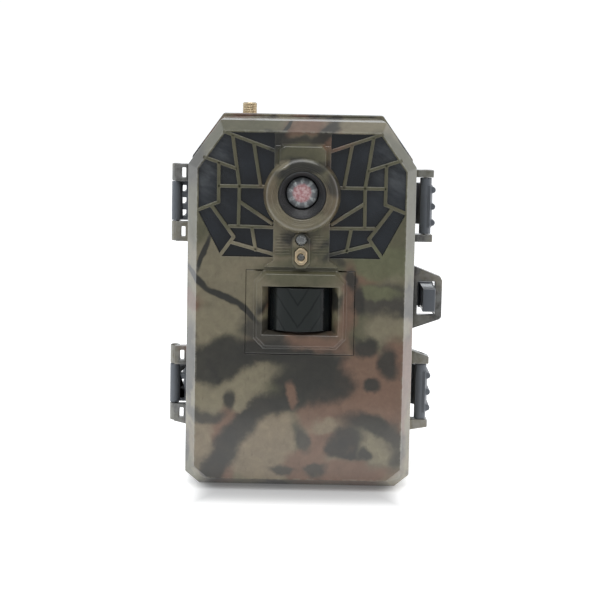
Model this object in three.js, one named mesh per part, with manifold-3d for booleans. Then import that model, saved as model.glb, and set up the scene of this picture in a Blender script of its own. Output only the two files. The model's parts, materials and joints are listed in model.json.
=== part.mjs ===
// A battery-powered trail camera: a camouflaged clamshell case that opens on two side hinges.
// The front half carries the lens, the infrared lamps, the motion sensor, the screen and the keys.
// The rear half carries eight AA cells, the radio board, the aerial socket and the tree bracket.
//
// Units are millimetres. +Z is up, -Y is the way the camera looks, and +X is the latch side.
// Every y below is measured from the plane where the two halves meet. The finished part is then
// moved so that its origin is on the ground, on its plane of symmetry, under the rear half's floor.

import * as THREE from "three";
import { ConvexGeometry } from "three/addons/geometries/ConvexGeometry.js";
import { mergeVertices } from "three/addons/utils/BufferGeometryUtils.js";
import Module from "manifold-3d";

const wasm = await Module();
wasm.setup();

// ---------------------------------------------------------------- driving dimensions

const GAP = 0.3; // between pieces that touch
const SEAM = 0.15; // each half stops this far short of the meeting plane
const ORIGIN_Y = 7.5; // the origin is this far behind the meeting plane

// The case outline is an octagon seen from the front: [x, z] cuts off the top and bottom corners.
const CASE = { half: 43.1, top: 140, topCut: [12, 16.8], bottomCut: [5.5, 4.5] };
const FACE_Y = -34; // the flat front face
const BEVEL = 4; // how far the face is set in from the case outline
const BEVEL_DEPTH = 7;
const WALL = 2.2;
const FRONT_WALL = 1.8;
const LIP = 0.9; // the flange round the seam stands this far proud of the case
const LIP_DEPTH = 3;
const REAR_Y = 38; // the flat back of the rear half
const REAR_RAISE = 1.2; // the rear half's top is this much higher than the front's

const LENS_Z = 112.2;
const WELL_RADIUS = 9.3; // the round well in the front cover that holds the lens
const COLLAR_RADIUS = 14.4;
const COLLAR_HEIGHT = 5;

const COLUMN_HALF = 10.5; // the plain column between the two lamp windows
const COLUMN_RAISE = 1.2;
const RIB_WIDTH = 1.4;
const WINDOW_INSET = 0.5; // from the face's edge to the lamp window

const PIR = { half: 20.4, low: 52.3, high: 84.2 }; // the motion sensor's frame plate
const PIR_OPENING = { half: 14.4, low: 60, high: 78.3 };
const PIR_INNER = { half: 11.9, low: 61.2, high: 78 };
const PIR_RAISE = 2.4;
const PIR_SENSOR_Z = 69.6;
const PIR_BOX_BACK = -22; // the back of the light box behind the motion lens

const STATUS_LED = { z: 96, radius: 2.1 };
const LIGHT_SENSOR = { half: 2.3, low: 86.6, high: 93, portZ: 89.6, port: 1.5 };

// The flat loop on the front half for a padlock, and the rear half's tongue that comes through it.
const LOOP = { front: -6, back: -2, window: { x: [46.5, 53.6], z: [63.4, 76.9] } };
const TONGUE = { x: [47.9, 52.9], front: -14.2, z: [66, 75.4], hole: [-9.7, 70.6] };

const HINGE = { x: -50, y: 0.3, knuckle: 1.95, pin: 1.0 };
const HINGES = [
  { name: "upper", low: 90.8, blockLow: 99, blockHigh: 114.5, high: 121.7, slant: 0 },
  { name: "lower", low: 17.8, blockLow: 25.2, blockHigh: 40.7, high: 48.6, slant: 2.2 },
];
const LATCH = { x: 48.7, y: -6, barrel: 2.3, pin: 0.9, length: 22, ear: 2.9 };
const LATCHES = [
  { name: "upper", low: 96.1, slant: 0 },
  { name: "lower", low: 21.9, slant: 2 },
];

const CELL = { radius: 7.1, length: 49, nub: 2.6, nubLength: 1.2, low: 19 };
const CELL_X = [-22.5, -7.5, 7.5, 22.5];
const CELL_Y = [10.8, 26];

// ---------------------------------------------------------------- solids

// The solid body that a closed surface encloses.
function solid(geometry) {
  const flat = new THREE.BufferGeometry();
  const source = geometry.index ? geometry.toNonIndexed() : geometry;
  flat.setAttribute("position", source.getAttribute("position"));
  const merged = mergeVertices(flat, 1e-4);
  const triVerts = new Uint32Array(merged.index.array);
  const vertProperties = merged.attributes.position.array;
  const made = new wasm.Manifold(new wasm.Mesh({ numProp: 3, vertProperties, triVerts }));
  if (made.volume() >= 0) return made;
  for (let i = 0; i < triVerts.length; i += 3) {
    [triVerts[i + 1], triVerts[i + 2]] = [triVerts[i + 2], triVerts[i + 1]];
  }
  return new wasm.Manifold(new wasm.Mesh({ numProp: 3, vertProperties, triVerts }));
}

function geometryOf(made) {
  const mesh = made.getMesh();
  const geometry = new THREE.BufferGeometry();
  geometry.setAttribute("position", new THREE.BufferAttribute(mesh.vertProperties, 3));
  geometry.setIndex(new THREE.BufferAttribute(mesh.triVerts, 1));
  geometry.computeVertexNormals();
  return geometry;
}

const join = (...parts) => parts.reduce((whole, part) => whole.add(part));
const cut = (whole, ...parts) => parts.reduce((left, part) => left.subtract(part), whole);

// A block between two corners.
function block([x0, x1], [y0, y1], [z0, z1]) {
  const geometry = new THREE.BoxGeometry(x1 - x0, y1 - y0, z1 - z0);
  geometry.translate((x0 + x1) / 2, (y0 + y1) / 2, (z0 + z1) / 2);
  return solid(geometry);
}

// An outline of [x, z] points, pushed along Y from y0 to y1.
function plate(outline, y0, y1) {
  const shape = new THREE.Shape(outline.map(([x, z]) => new THREE.Vector2(x, z)));
  const geometry = new THREE.ExtrudeGeometry(shape, { depth: y1 - y0, bevelEnabled: false });
  geometry.rotateX(Math.PI / 2);
  geometry.translate(0, y1, 0);
  return solid(geometry);
}

// The convex body between two outlines of [x, z] points, one at y0 and one at y1.
function taper(outline0, y0, outline1, y1) {
  const points = [
    ...outline0.map(([x, z]) => new THREE.Vector3(x, y0, z)),
    ...outline1.map(([x, z]) => new THREE.Vector3(x, y1, z)),
  ];
  return solid(new ConvexGeometry(points));
}

// A round bar along an axis, centred on [x, y, z].
function bar(axis, radius, length, [x, y, z], sides = 16, endRadius = radius) {
  const geometry = new THREE.CylinderGeometry(endRadius, radius, length, sides);
  if (axis === "z") geometry.rotateX(Math.PI / 2);
  if (axis === "x") geometry.rotateZ(-Math.PI / 2);
  geometry.translate(x, y, z);
  return solid(geometry);
}

// A profile of [radius, y] points turned about the line along Y through (x, z).
function turned(profile, x, z, sides = 32) {
  const points = [...profile, profile[0]].map(([r, y]) => new THREE.Vector2(r, y));
  const geometry = new THREE.LatheGeometry(points, sides);
  geometry.translate(x, 0, z);
  return solid(geometry);
}

const rectangle = (half, low, high) => [
  [half, low],
  [half, high],
  [-half, high],
  [-half, low],
];

// A rectangle of half-width half from z low to z high with its corners cut off.
const cutRectangle = (half, low, high, c) => [
  [half, low + c],
  [half, high - c],
  [half - c, high],
  [c - half, high],
  [-half, high - c],
  [-half, low + c],
  [c - half, low],
  [half - c, low],
];

const mirrored = (outline) => outline.map(([x, z]) => [-x, z]).reverse();

// The case octagon set in by inset, with its top raised and its bottom edge set in by bottomInset.
function caseOutline(inset, raise = 0, bottomInset = inset) {
  const half = CASE.half - inset;
  const top = CASE.top + raise - inset;
  const bottom = bottomInset;
  const [cutX, cutZ] = CASE.topCut;
  const size = Math.hypot(cutX, cutZ);
  const [nx, nz] = [cutZ / size, cutX / size];
  const reach = nx * CASE.half + nz * (CASE.top + raise - cutZ) - inset;
  const shoulder = (reach - nx * half) / nz;
  const crown = (reach - nz * top) / nx;
  const [footX, footZ] = CASE.bottomCut;
  return [
    [half, bottom + footZ],
    [half, shoulder],
    [crown, top],
    [-crown, top],
    [-half, shoulder],
    [-half, bottom + footZ],
    [footX - half, bottom],
    [half - footX, bottom],
  ];
}

// ---------------------------------------------------------------- materials

const finish = (color, roughness, metalness = 0, extra = {}) =>
  new THREE.MeshStandardMaterial({ color, roughness, metalness, ...extra });

const materials = {
  camo: finish(0x5b5644, 0.42),
  darkPlastic: finish(0x34383c, 0.5),
  blackPlastic: finish(0x141516, 0.45),
  smokedAcrylic: finish(0x0c0f12, 0.08, 0, { transparent: true, opacity: 0.85 }),
  glass: finish(0xa8b4b0, 0.05, 0, { transparent: true, opacity: 0.4 }),
  clearPlastic: finish(0xc9ced0, 0.12, 0, { transparent: true, opacity: 0.5 }),
  gold: finish(0xd8b36a, 0.28, 1),
  steel: finish(0xa6a8aa, 0.32, 1),
  brass: finish(0xb99a52, 0.35, 1),
  rubber: finish(0x1b1b1c, 0.8),
  board: finish(0x1f4a2c, 0.5),
  screen: finish(0x101418, 0.15),
  cellSleeve: finish(0x2f3d4c, 0.4),
  key: finish(0x8e9296, 0.6),
  card: finish(0x22262b, 0.5),
};

// ---------------------------------------------------------------- front half: case

// Lamp window on the +X side, as an outline that runs along the face's edges.
function lampWindow(inset) {
  const face = caseOutline(BEVEL + WINDOW_INSET + inset);
  const inner = COLUMN_HALF + inset;
  const low = 89 + inset;
  return [
    [inner, low],
    [29.9 - 0.6 * inset, low],
    [face[1][0], 105.6 + 0.6 * inset],
    face[1],
    face[2],
    [inner, face[2][1]],
  ];
}

// The web of ribs across the +X lamp window, each a line through two or three [x, z] points.
const RIBS = [
  [[30, 135.9], [10, 128.8]],
  [[26.2, 134.3], [24.4, 121.9], [23.4, 115.4]],
  [[18.3, 131.5], [15.5, 115.4]],
  [[31.3, 115.4], [12, 115.4]],
  [[38.5, 126.6], [24.5, 121.9]],
  [[31.2, 124.2], [31.1, 109.3]],
  [[39.5, 106], [31.1, 109.4]],
  [[33.5, 107.6], [25.3, 96.4], [31, 88.4]],
  [[27.2, 100.4], [9, 100.2]],
  [[23.4, 115.4], [23.6, 100.4]],
  [[23.3, 109.6], [10, 101]],
  [[18.6, 100.2], [17, 91.4]],
  [[26.4, 94.4], [9, 89.6]],
];

function rib([x0, z0], [x1, z1], y0, y1) {
  const length = Math.hypot(x1 - x0, z1 - z0);
  const geometry = new THREE.BoxGeometry(length + 0.5 * RIB_WIDTH, y1 - y0, RIB_WIDTH);
  geometry.rotateY(-Math.atan2(z1 - z0, x1 - x0));
  geometry.translate((x0 + x1) / 2, (y0 + y1) / 2, (z0 + z1) / 2);
  return solid(geometry);
}

// What is cut out of the face on one side: the lamp window less its web of ribs.
function windowCuts(side) {
  const front = FACE_Y - 1;
  const back = FACE_Y + FRONT_WALL + 1;
  const flip = ([x, z]) => [side * x, z];
  const outline = side > 0 ? lampWindow(0) : mirrored(lampWindow(0));
  let open = plate(outline, front, back);
  for (const line of RIBS) {
    for (let i = 1; i < line.length; i++) {
      open = cut(open, rib(flip(line[i - 1]), flip(line[i]), front - 1, back + 1));
    }
  }
  return cut(open, bar("y", COLLAR_RADIUS, 20, [0, FACE_Y, LENS_Z], 32));
}

// A hinge ear on the front cover: a knuckle round the pin and a pierced web back to the case.
function hingeEar(low, high, slant) {
  const middle = (low + high) / 2;
  const web = plate(
    [
      [HINGE.x, low],
      [-CASE.half + WALL - 1, low - slant],
      [-CASE.half + WALL - 1, high],
      [HINGE.x, high],
    ],
    -3.2,
    -SEAM,
  );
  const knuckle = bar("z", HINGE.knuckle, high - low, [HINGE.x, HINGE.y, middle], 16);
  const bore = bar("z", HINGE.pin + 0.25, high - low + 8, [HINGE.x, HINGE.y, middle], 12);
  const slot = block([-47.8, -46.1], [-6, 3], [middle - 2, middle + 2]);
  return cut(join(web, knuckle), bore, slot);
}

// A pair of ears on the front cover that hold one latch between them.
function latchEars({ low, slant }) {
  const high = low + LATCH.length;
  const ear = (z0, z1, sag, rise) =>
    plate(
      [
        [CASE.half - 1, z0 - sag],
        [LATCH.x + LATCH.barrel + 0.6, z0],
        [LATCH.x + LATCH.barrel + 0.6, z1],
        [CASE.half - 1, z1 + rise],
      ],
      LATCH.y - 2.6,
      LATCH.y + 2.6,
    );
  const ears = join(
    ear(low - GAP - LATCH.ear, low - GAP, slant, 0),
    ear(high + GAP, high + GAP + LATCH.ear, 0, slant * 2),
  );
  const middle = (low + high) / 2;
  return cut(ears, bar("z", LATCH.pin + 0.25, 60, [LATCH.x, LATCH.y, middle], 12));
}

// The flat loop that a lock passes through.
function lockLoop() {
  const outline = [
    [CASE.half - 1, 56.3],
    [55.5, 61.7],
    [56.3, 62.6],
    [56.3, 77.3],
    [55.5, 78.9],
    [CASE.half - 1, 84.8],
  ];
  const window = block(LOOP.window.x, [LOOP.front - 2, LOOP.back + 2], LOOP.window.z);
  return cut(plate(outline, LOOP.front, LOOP.back), window);
}

function lensCollar() {
  const top = FACE_Y - COLLAR_HEIGHT;
  return turned(
    [
      [WELL_RADIUS, FACE_Y + 11],
      [WELL_RADIUS, top + 1.1],
      [11.2, top],
      [12.8, top + 0.5],
      [13.9, top + 2],
      [COLLAR_RADIUS, FACE_Y + 0.8],
      [WELL_RADIUS + 1.8, FACE_Y + 0.8],
      [WELL_RADIUS + 1.8, FACE_Y + 11],
    ],
    0,
    LENS_Z,
    40,
  );
}

// The raised column with its brow over the lens and its flared foot over the sensor window.
function column() {
  const foot = [
    [COLUMN_HALF, 88],
    [COLUMN_HALF, caseOutline(BEVEL)[2][1] - 0.6],
    [-COLUMN_HALF, caseOutline(BEVEL)[2][1] - 0.6],
    [-COLUMN_HALF, 88],
    [-14.5, 85.4],
    [14.5, 85.4],
  ];
  const brow = taper(
    cutRectangle(9.8, 119, 131.6, 1.6),
    FACE_Y,
    cutRectangle(8.6, 120, 130.4, 1.4),
    FACE_Y - 3.2,
  );
  const sensorBoss = taper(
    cutRectangle(3.7, 84.9, 99, 2),
    FACE_Y,
    cutRectangle(3.2, 85.3, 98, 1.8),
    FACE_Y - 2.6,
  );
  return join(plate(foot, FACE_Y - COLUMN_RAISE, FACE_Y + 1), brow, sensorBoss);
}

const POSTS = [
  [36.6, 12],
  [-36.6, 84],
];

function frontCover() {
  const baseY = FACE_Y + BEVEL_DEPTH;
  const shell = join(
    taper(caseOutline(BEVEL), FACE_Y, caseOutline(0), baseY),
    taper(caseOutline(0), baseY, caseOutline(-0.4, 0, 0), -SEAM),
    plate(caseOutline(-LIP, 0, 0), -LIP_DEPTH, -SEAM),
  );
  const hollow = join(
    taper(
      caseOutline(BEVEL - 0.7),
      FACE_Y + FRONT_WALL,
      caseOutline(WALL),
      baseY + 1,
    ),
    plate(caseOutline(WALL), baseY + 0.9, 5),
  );
  const posts = POSTS.map(([x, z]) =>
    cut(bar("y", 2.8, 27, [x, -19.6, z], 12), bar("y", 1.05, 12, [x, -10, z], 8)),
  );
  const outside = join(
    cut(shell, hollow),
    column(),
    lensCollar(),
    lockLoop(),
    ...LATCHES.map(latchEars),
    ...HINGES.flatMap(({ low, blockLow, blockHigh, high, slant }) => [
      hingeEar(low, blockLow - GAP, slant),
      hingeEar(blockHigh + GAP, high, 0),
    ]),
    ...posts,
  );
  return cut(
    outside,
    bar("y", WELL_RADIUS, 40, [0, FACE_Y, LENS_Z], 40),
    windowCuts(1),
    windowCuts(-1),
    plate(rectangle(PIR.half + GAP, PIR.low - GAP, PIR.high + GAP), FACE_Y - 0.6, -25),
    block(
      [-LIGHT_SENSOR.half - GAP, LIGHT_SENSOR.half + GAP],
      [FACE_Y - 3, -25],
      [LIGHT_SENSOR.low - GAP, LIGHT_SENSOR.high + GAP],
    ),
    bar("y", STATUS_LED.radius + GAP, 20, [0, FACE_Y, STATUS_LED.z], 16),
  );
}

// ---------------------------------------------------------------- front half: optics and lamps

function lampPane(side) {
  const outline = lampWindow(-1);
  const made = plate(outline, FACE_Y + FRONT_WALL + GAP, FACE_Y + FRONT_WALL + GAP + 2);
  const trimmed = cut(made, bar("y", WELL_RADIUS + 2.1, 30, [0, FACE_Y, LENS_Z], 32));
  return side > 0 ? trimmed : trimmed.mirror([1, 0, 0]);
}

const LED = { radius: 1.9, length: 5, pitch: 6.3 };
const BOARD_Y = -24.4;
// Straight lines just inside the window's outer edges that the lamps keep within.
const LED_EDGE = {
  side: 35.5,
  top: { slope: 0.71, limit: 122.5 },
  foot: { slope: 0.55, limit: -21 },
};

// A lamp board with a grid of lamps wherever the window is wide enough for one.
function lampBoard(side) {
  const outline = lampWindow(1);
  let made = plate(outline, BOARD_Y, BOARD_Y + 1.6);
  made = cut(made, bar("y", WELL_RADIUS + 3, 30, [0, BOARD_Y, LENS_Z], 32));
  const insideWindow = (x, z) => {
    const belowTop = x + LED_EDGE.top.slope * z < LED_EDGE.top.limit;
    const aboveFoot = x - LED_EDGE.foot.slope * z < LED_EDGE.foot.limit;
    const clearOfLens = Math.hypot(x, z - LENS_Z) > WELL_RADIUS + 3 + LED.radius;
    return x < LED_EDGE.side && belowTop && aboveFoot && clearOfLens;
  };
  for (let x = 15; x < 37; x += LED.pitch) {
    for (let z = 93; z < 134; z += LED.pitch) {
      if (!insideWindow(x, z)) continue;
      const centre = [x, BOARD_Y - LED.length / 2 + 0.2, z];
      made = join(made, bar("y", LED.radius, LED.length, centre, 8));
    }
  }
  return side > 0 ? made : made.mirror([1, 0, 0]);
}

const lensBezel = () =>
  turned(
    [
      [WELL_RADIUS - GAP, -37.6],
      [8.3, -38],
      [6.6, -35],
      [6.6, -31],
      [WELL_RADIUS - GAP, -31],
    ],
    0,
    LENS_Z,
  );

const lensGlass = () =>
  turned(
    [
      [0, -35.4],
      [3, -35.1],
      [5, -34.4],
      [6.2, -33.4],
      [6.2, -31.4],
      [0, -31.4],
    ],
    0,
    LENS_Z,
    24,
  );

const lensBarrel = () =>
  turned(
    [
      [4.6, -31],
      [6.2, -31],
      [6.2, -30.6],
      [7.6, -30.6],
      [7.6, -26],
      [6, -26],
      [6, -20.2],
      [3.6, -20.2],
      [3.6, -27],
    ],
    0,
    LENS_Z,
    20,
  );

const HOLDER_Y = [-19.8, -12.4];

// The block that carries the lens over the image sensor, slotted for the moving infrared filter.
function lensHolder() {
  const body = block([-9, 9], HOLDER_Y, [LENS_Z - 8, LENS_Z + 8]);
  const light = bar("y", 3.2, 6, [0, -18, LENS_Z], 12);
  const slot = block([-12, 12], [-17.6, -15.8], [LENS_Z - 4.6, LENS_Z + 4.6]);
  return cut(body, light, slot);
}

const irCutFilter = () =>
  block([-8.2, 4.4], [-17.2, -16.2], [LENS_Z - 4.2, LENS_Z + 4.2]);

// ---------------------------------------------------------------- front half: sensors

function pirFrame() {
  const back = FACE_Y + FRONT_WALL;
  const raised = taper(
    cutRectangle(17.4, 54.6, 84, 3.8),
    FACE_Y,
    cutRectangle(16.3, 55.7, 83, 3.4),
    FACE_Y - PIR_RAISE,
  );
  const { half, low, high } = PIR_OPENING;
  const inner = PIR_INNER;
  const funnel = taper(
    rectangle(half, low, high),
    FACE_Y - PIR_RAISE - 0.01,
    rectangle(inner.half, inner.low, inner.high),
    back + 0.01,
  );
  return cut(join(plate(rectangle(PIR.half, PIR.low, PIR.high), FACE_Y, back), raised), funnel);
}

// The motion lens: a thin window bowed forward about an upright axis, with a flat edge each side.
function pirLens() {
  const radius = 15;
  const half = 11.2;
  const turn = Math.asin(half / radius);
  const centreY = FACE_Y + FRONT_WALL + radius * Math.cos(turn);
  const shape = new THREE.Shape();
  const start = -Math.PI / 2 - turn;
  shape.absarc(0, centreY, radius, start, start + 2 * turn, false);
  shape.absarc(0, centreY, radius - 0.9, start + 2 * turn, start, true);
  const low = PIR_INNER.low + GAP;
  const depth = PIR_INNER.high - PIR_INNER.low - 2 * GAP;
  const geometry = new THREE.ExtrudeGeometry(shape, {
    depth,
    bevelEnabled: false,
    curveSegments: 14,
  });
  geometry.translate(0, 0, low);
  return solid(geometry);
}

// The dark box behind the motion lens that keeps stray light off the sensor.
function pirHousing() {
  const front = FACE_Y + FRONT_WALL + GAP;
  const body = plate(rectangle(14.5, 57.5, 81.5), front, PIR_BOX_BACK);
  const mouth = plate(rectangle(12.6, 59.5, 79.5), front - 1, PIR_BOX_BACK - 2);
  return cut(body, mouth, bar("y", 5, 10, [0, PIR_BOX_BACK, PIR_SENSOR_Z], 16));
}

const pirSensor = () =>
  join(
    bar("y", 4.1, 4, [0, PIR_BOX_BACK - 2, PIR_SENSOR_Z], 16),
    bar("y", 4.6, 0.8, [0, PIR_BOX_BACK + 0.1, PIR_SENSOR_Z], 16),
  );

const statusLed = () =>
  turned(
    [
      [0, FACE_Y - 3.6],
      [1.2, FACE_Y - 3.2],
      [STATUS_LED.radius, FACE_Y - 1.8],
      [STATUS_LED.radius, FACE_Y + 4],
      [0, FACE_Y + 4],
    ],
    0,
    STATUS_LED.z,
    16,
  );

// The small gilt bezel with a round port, in front of the light sensor.
function lightSensorBezel() {
  const { half, low, high, portZ, port } = LIGHT_SENSOR;
  const body = plate(cutRectangle(half, low, high, 1.5), FACE_Y - 3.4, FACE_Y + 1);
  return cut(body, bar("y", port, 12, [0, FACE_Y, portZ], 16));
}

// ---------------------------------------------------------------- front half: electronics

const PANEL_Y = [-5.6, -3.6];
const KEY_RADIUS = 3.2;
const KEY_PITCH = 10;
const KEY_OK = [11, 56];
const KEYS = {
  key_ok: KEY_OK,
  key_up: [KEY_OK[0], KEY_OK[1] + KEY_PITCH],
  key_down: [KEY_OK[0], KEY_OK[1] - KEY_PITCH],
  key_left: [KEY_OK[0] - KEY_PITCH, KEY_OK[1]],
  key_right: [KEY_OK[0] + KEY_PITCH, KEY_OK[1]],
};
const SWITCH = { x: 6, z: 30, travel: 6.5 };
const CARD = { x: -22.4, half: 11.9, low: 34, length: 32, cage: 13 };
const LCD = { half: 21.5, low: 77, high: 110 };
const MAIN_BOARD_Y = [-10.8, -9];

function innerPanel() {
  const through = [-8, 0];
  const middleY = (PANEL_Y[0] + PANEL_Y[1]) / 2;
  const screen = block([2 - LCD.half, LCD.half - 2], through, [LCD.low + 3, LCD.high - 2]);
  const switchSlot = block(
    [SWITCH.x - 1, SWITCH.x + 5 + SWITCH.travel],
    through,
    [SWITCH.z - 1.8, SWITCH.z + 1.8],
  );
  const cardSlot = block([CARD.x - CARD.cage, CARD.x + CARD.cage], through, [6, CARD.low + 6]);
  let made = cut(plate(caseOutline(3.1), ...PANEL_Y), screen, switchSlot, cardSlot);
  for (const [x, z] of Object.values(KEYS)) {
    made = cut(made, bar("y", KEY_RADIUS + GAP, 8, [x, middleY, z], 20));
  }
  for (const [x, z] of POSTS) made = cut(made, bar("y", 1.5, 8, [x, middleY, z], 12));
  return made;
}

const key = ([x, z]) =>
  join(
    bar("y", KEY_RADIUS, 3.2, [x, -4.3, z], 20),
    bar("y", KEY_RADIUS + 0.8, 0.8, [x, -6.3, z], 20),
  );

const modeSwitch = () =>
  join(
    block([SWITCH.x, SWITCH.x + 4], [-6.8, -2.2], [SWITCH.z - 1.4, SWITCH.z + 1.4]),
    block([SWITCH.x - 1, SWITCH.x + 5], [-7.2, -6], [SWITCH.z - 2.6, SWITCH.z + 2.6]),
  );

const lcdDisplay = () => block([-LCD.half, LCD.half], [-8.4, -5.9], [LCD.low, LCD.high]);

// The memory card's cage opens downwards into the finger cut-out of the inner panel.
function mainBoard() {
  const outline = [
    [33.5, 7],
    [33.5, 114],
    [26, 130],
    [-26, 130],
    [-33.5, 114],
    [-33.5, 7],
  ];
  const low = CARD.low + 7;
  const cage = cut(
    block([CARD.x - CARD.cage, CARD.x + CARD.cage], [-9.2, -5.9], [low, low + 27]),
    block([CARD.x - CARD.half - GAP, CARD.x + CARD.half + GAP], [-8.8, -6.3], [low - 1, low + 26]),
  );
  // Each chip or socket on the lens side: its x range, its z range and its height.
  const chips = [
    [[-9, 9], [58, 82], 1.3],
    [[12, 30], [20, 34], 1.8],
    [[-30, -16], [64, 76], 3.2],
  ];
  const boardFront = MAIN_BOARD_Y[0];
  return join(
    plate(outline, ...MAIN_BOARD_Y),
    cage,
    ...chips.map(([x, z, tall]) => block(x, [boardFront - tall, boardFront + 0.1], z)),
  );
}

const memoryCard = () =>
  block(
    [CARD.x - CARD.half, CARD.x + CARD.half],
    [-8.5, -6.6],
    [CARD.low, CARD.low + CARD.length],
  );

// A countersunk screw along Y: its head faces the +Y or -Y side.
function screw(x, y, z, headRadius, shankRadius, length, facing) {
  const head = bar("y", headRadius, 1.6, [x, y - facing * 0.8, z], 14);
  const shank = bar("y", shankRadius, length, [x, y - facing * (1.4 + length / 2), z], 8);
  const slot = block(
    [x - headRadius * 0.7, x + headRadius * 0.7],
    [y - 0.8, y + 0.8],
    [z - 0.35, z + 0.35],
  );
  return cut(join(head, shank), slot);
}

// ---------------------------------------------------------------- rear half: case

const SCREW_X = [-24, 24]; // the bracket's screws
const SCREW_Z = 102;
const TRIPOD = { y: 19, radius: 4.6, thread: 3.1, depth: 8 };
const POWER = { x: -27, y: 15 };
const SMA = { x: -22.4, y: 26, radius: 3, low: 131, high: 146.2, seat: 139.8 };

// The tab behind the lock loop, and the pierced tongue that comes forward through the loop.
function lockStaple() {
  const tab = [
    [42, 66.4],
    [47.5, 66.1],
    [51, 65],
    [53.4, 63.2],
    [55.2, 61.4],
    [55.2, 73],
    [52.5, 75.5],
    [42, 75.7],
  ];
  const tongue = block(TONGUE.x, [TONGUE.front, 2], TONGUE.z);
  const hole = bar("x", 3, 20, [50, ...TONGUE.hole], 20);
  return cut(join(plate(tab, 0.5, 5.5), tongue), hole);
}

function rearHousing() {
  const flange = plate(caseOutline(-LIP, REAR_RAISE, 0), SEAM, LIP_DEPTH + 0.6);
  const body = join(
    taper(
      caseOutline(-0.2, REAR_RAISE, 0),
      SEAM,
      caseOutline(1.4, REAR_RAISE + 0.8, 0),
      31,
    ),
    taper(
      caseOutline(1.4, REAR_RAISE + 0.8, 0),
      31,
      caseOutline(6, REAR_RAISE + 0.8, 4.5),
      REAR_Y,
    ),
  );
  const hollow = join(
    taper(caseOutline(2.6, REAR_RAISE), -1, caseOutline(3.9, REAR_RAISE), 31),
    taper(caseOutline(3.9, REAR_RAISE), 31, caseOutline(7.4, REAR_RAISE), REAR_Y - 2.4),
  );
  const sealGroove = cut(
    plate(caseOutline(0.7, REAR_RAISE, 0.7), -1, 1.5),
    plate(caseOutline(2.1, REAR_RAISE, 2.1), -2, 2),
  );
  const bosses = join(
    block([-6.5, 6.5], [TRIPOD.y - 6.5, TRIPOD.y + 6.5], [1, TRIPOD.depth + 1.4]),
    ...SCREW_X.map((x) => bar("y", 3.4, 4, [x, REAR_Y - 3.6, SCREW_Z], 12)),
  );
  // Each latch rides past a low ridge on the side of the case.
  const catches = LATCHES.map(({ low }) =>
    block([43, 45.5], [4.2, 6.2], [low + 3, low + LATCH.length - 3]),
  );
  const topHole = join(
    bar("z", SMA.radius + GAP, 20, [SMA.x, SMA.y, CASE.top], 16),
    bar("z", 5.6, 10, [SMA.x, SMA.y, SMA.seat + 5], 20),
  );
  return cut(
    join(cut(join(flange, body), hollow), bosses, lockStaple(), ...catches),
    sealGroove,
    topHole,
    bar("z", TRIPOD.radius + GAP, 20, [0, TRIPOD.y, TRIPOD.depth - 10], 20),
    bar("z", 5.3, 10, [POWER.x, POWER.y, 2], 16),
    ...SCREW_X.map((x) => bar("y", 1.7, 20, [x, REAR_Y - 4, SCREW_Z], 10)),
  );
}

// The rubber ring that the front half closes on.
const housingGasket = () =>
  cut(
    plate(caseOutline(1, REAR_RAISE, 1), 0.1, 1.2),
    plate(caseOutline(1.8, REAR_RAISE, 1.8), -1, 2),
  );

// A hinge block: a knuckle round the pin and a web, pierced three times, screwed to the rear half.
function hingeBlock({ blockLow, blockHigh }) {
  const middle = (blockLow + blockHigh) / 2;
  const length = blockHigh - blockLow;
  const web = block([HINGE.x, -CASE.half - LIP - GAP], [0.4, 3.4], [blockLow, blockHigh]);
  const foot = block([-47.4, -CASE.half - LIP - GAP], [0.4, 12], [blockLow, blockHigh]);
  const knuckle = bar("z", HINGE.knuckle, length, [HINGE.x, HINGE.y, middle], 16);
  const bore = bar("z", HINGE.pin + 0.25, length + 8, [HINGE.x, HINGE.y, middle], 12);
  const pitch = 4.9;
  const slots = [-1, 0, 1].map((n) =>
    block([-47.9, -46.2], [-1, 14], [middle + pitch * n - 1.3, middle + pitch * n + 1.3]),
  );
  return cut(join(web, foot, knuckle), bore, ...slots);
}

function hingePin({ low, high }) {
  const length = high - low - 1;
  return bar("z", HINGE.pin, length, [HINGE.x, HINGE.y, (low + high) / 2], 12);
}

// A latch: a barrel round its pin, an arm back along the case, and grip ribs on its outside.
function latch({ low }) {
  const high = low + LATCH.length;
  const middle = (low + high) / 2;
  const barrel = bar("z", LATCH.barrel, LATCH.length, [LATCH.x, LATCH.y, middle], 16);
  const outline = [
    [46.6, -7.4],
    [50.4, -8.6],
    [51.4, -6],
    [51.4, 5],
    [50.2, 9.6],
    [46, 9.6],
    [46, 7],
    [47.3, 5.6],
    [47.3, -4],
  ];
  const shape = new THREE.Shape(outline.map(([x, y]) => new THREE.Vector2(x, y)));
  const depth = LATCH.length - 5.4;
  const arm = new THREE.ExtrudeGeometry(shape, { depth, bevelEnabled: false });
  arm.translate(0, 0, low + 2.5);
  const grips = [0.17, 0.46, 0.76].map((share) =>
    bar("y", 1.3, 12, [51.3, -1.4, low + share * LATCH.length + 0.6], 10),
  );
  const bore = bar("z", LATCH.pin + 0.25, 40, [LATCH.x, LATCH.y, middle], 12);
  return cut(join(barrel, solid(arm), ...grips), bore);
}

const latchPin = ({ low }) =>
  bar(
    "z",
    LATCH.pin,
    LATCH.length + 2 * (GAP + LATCH.ear) - 0.6,
    [LATCH.x, LATCH.y, low + LATCH.length / 2],
    12,
  );

// ---------------------------------------------------------------- rear half: power

const TRAY = { half: 32.8, low: 12, high: 74.2, front: 3, back: 35.2 };

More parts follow.
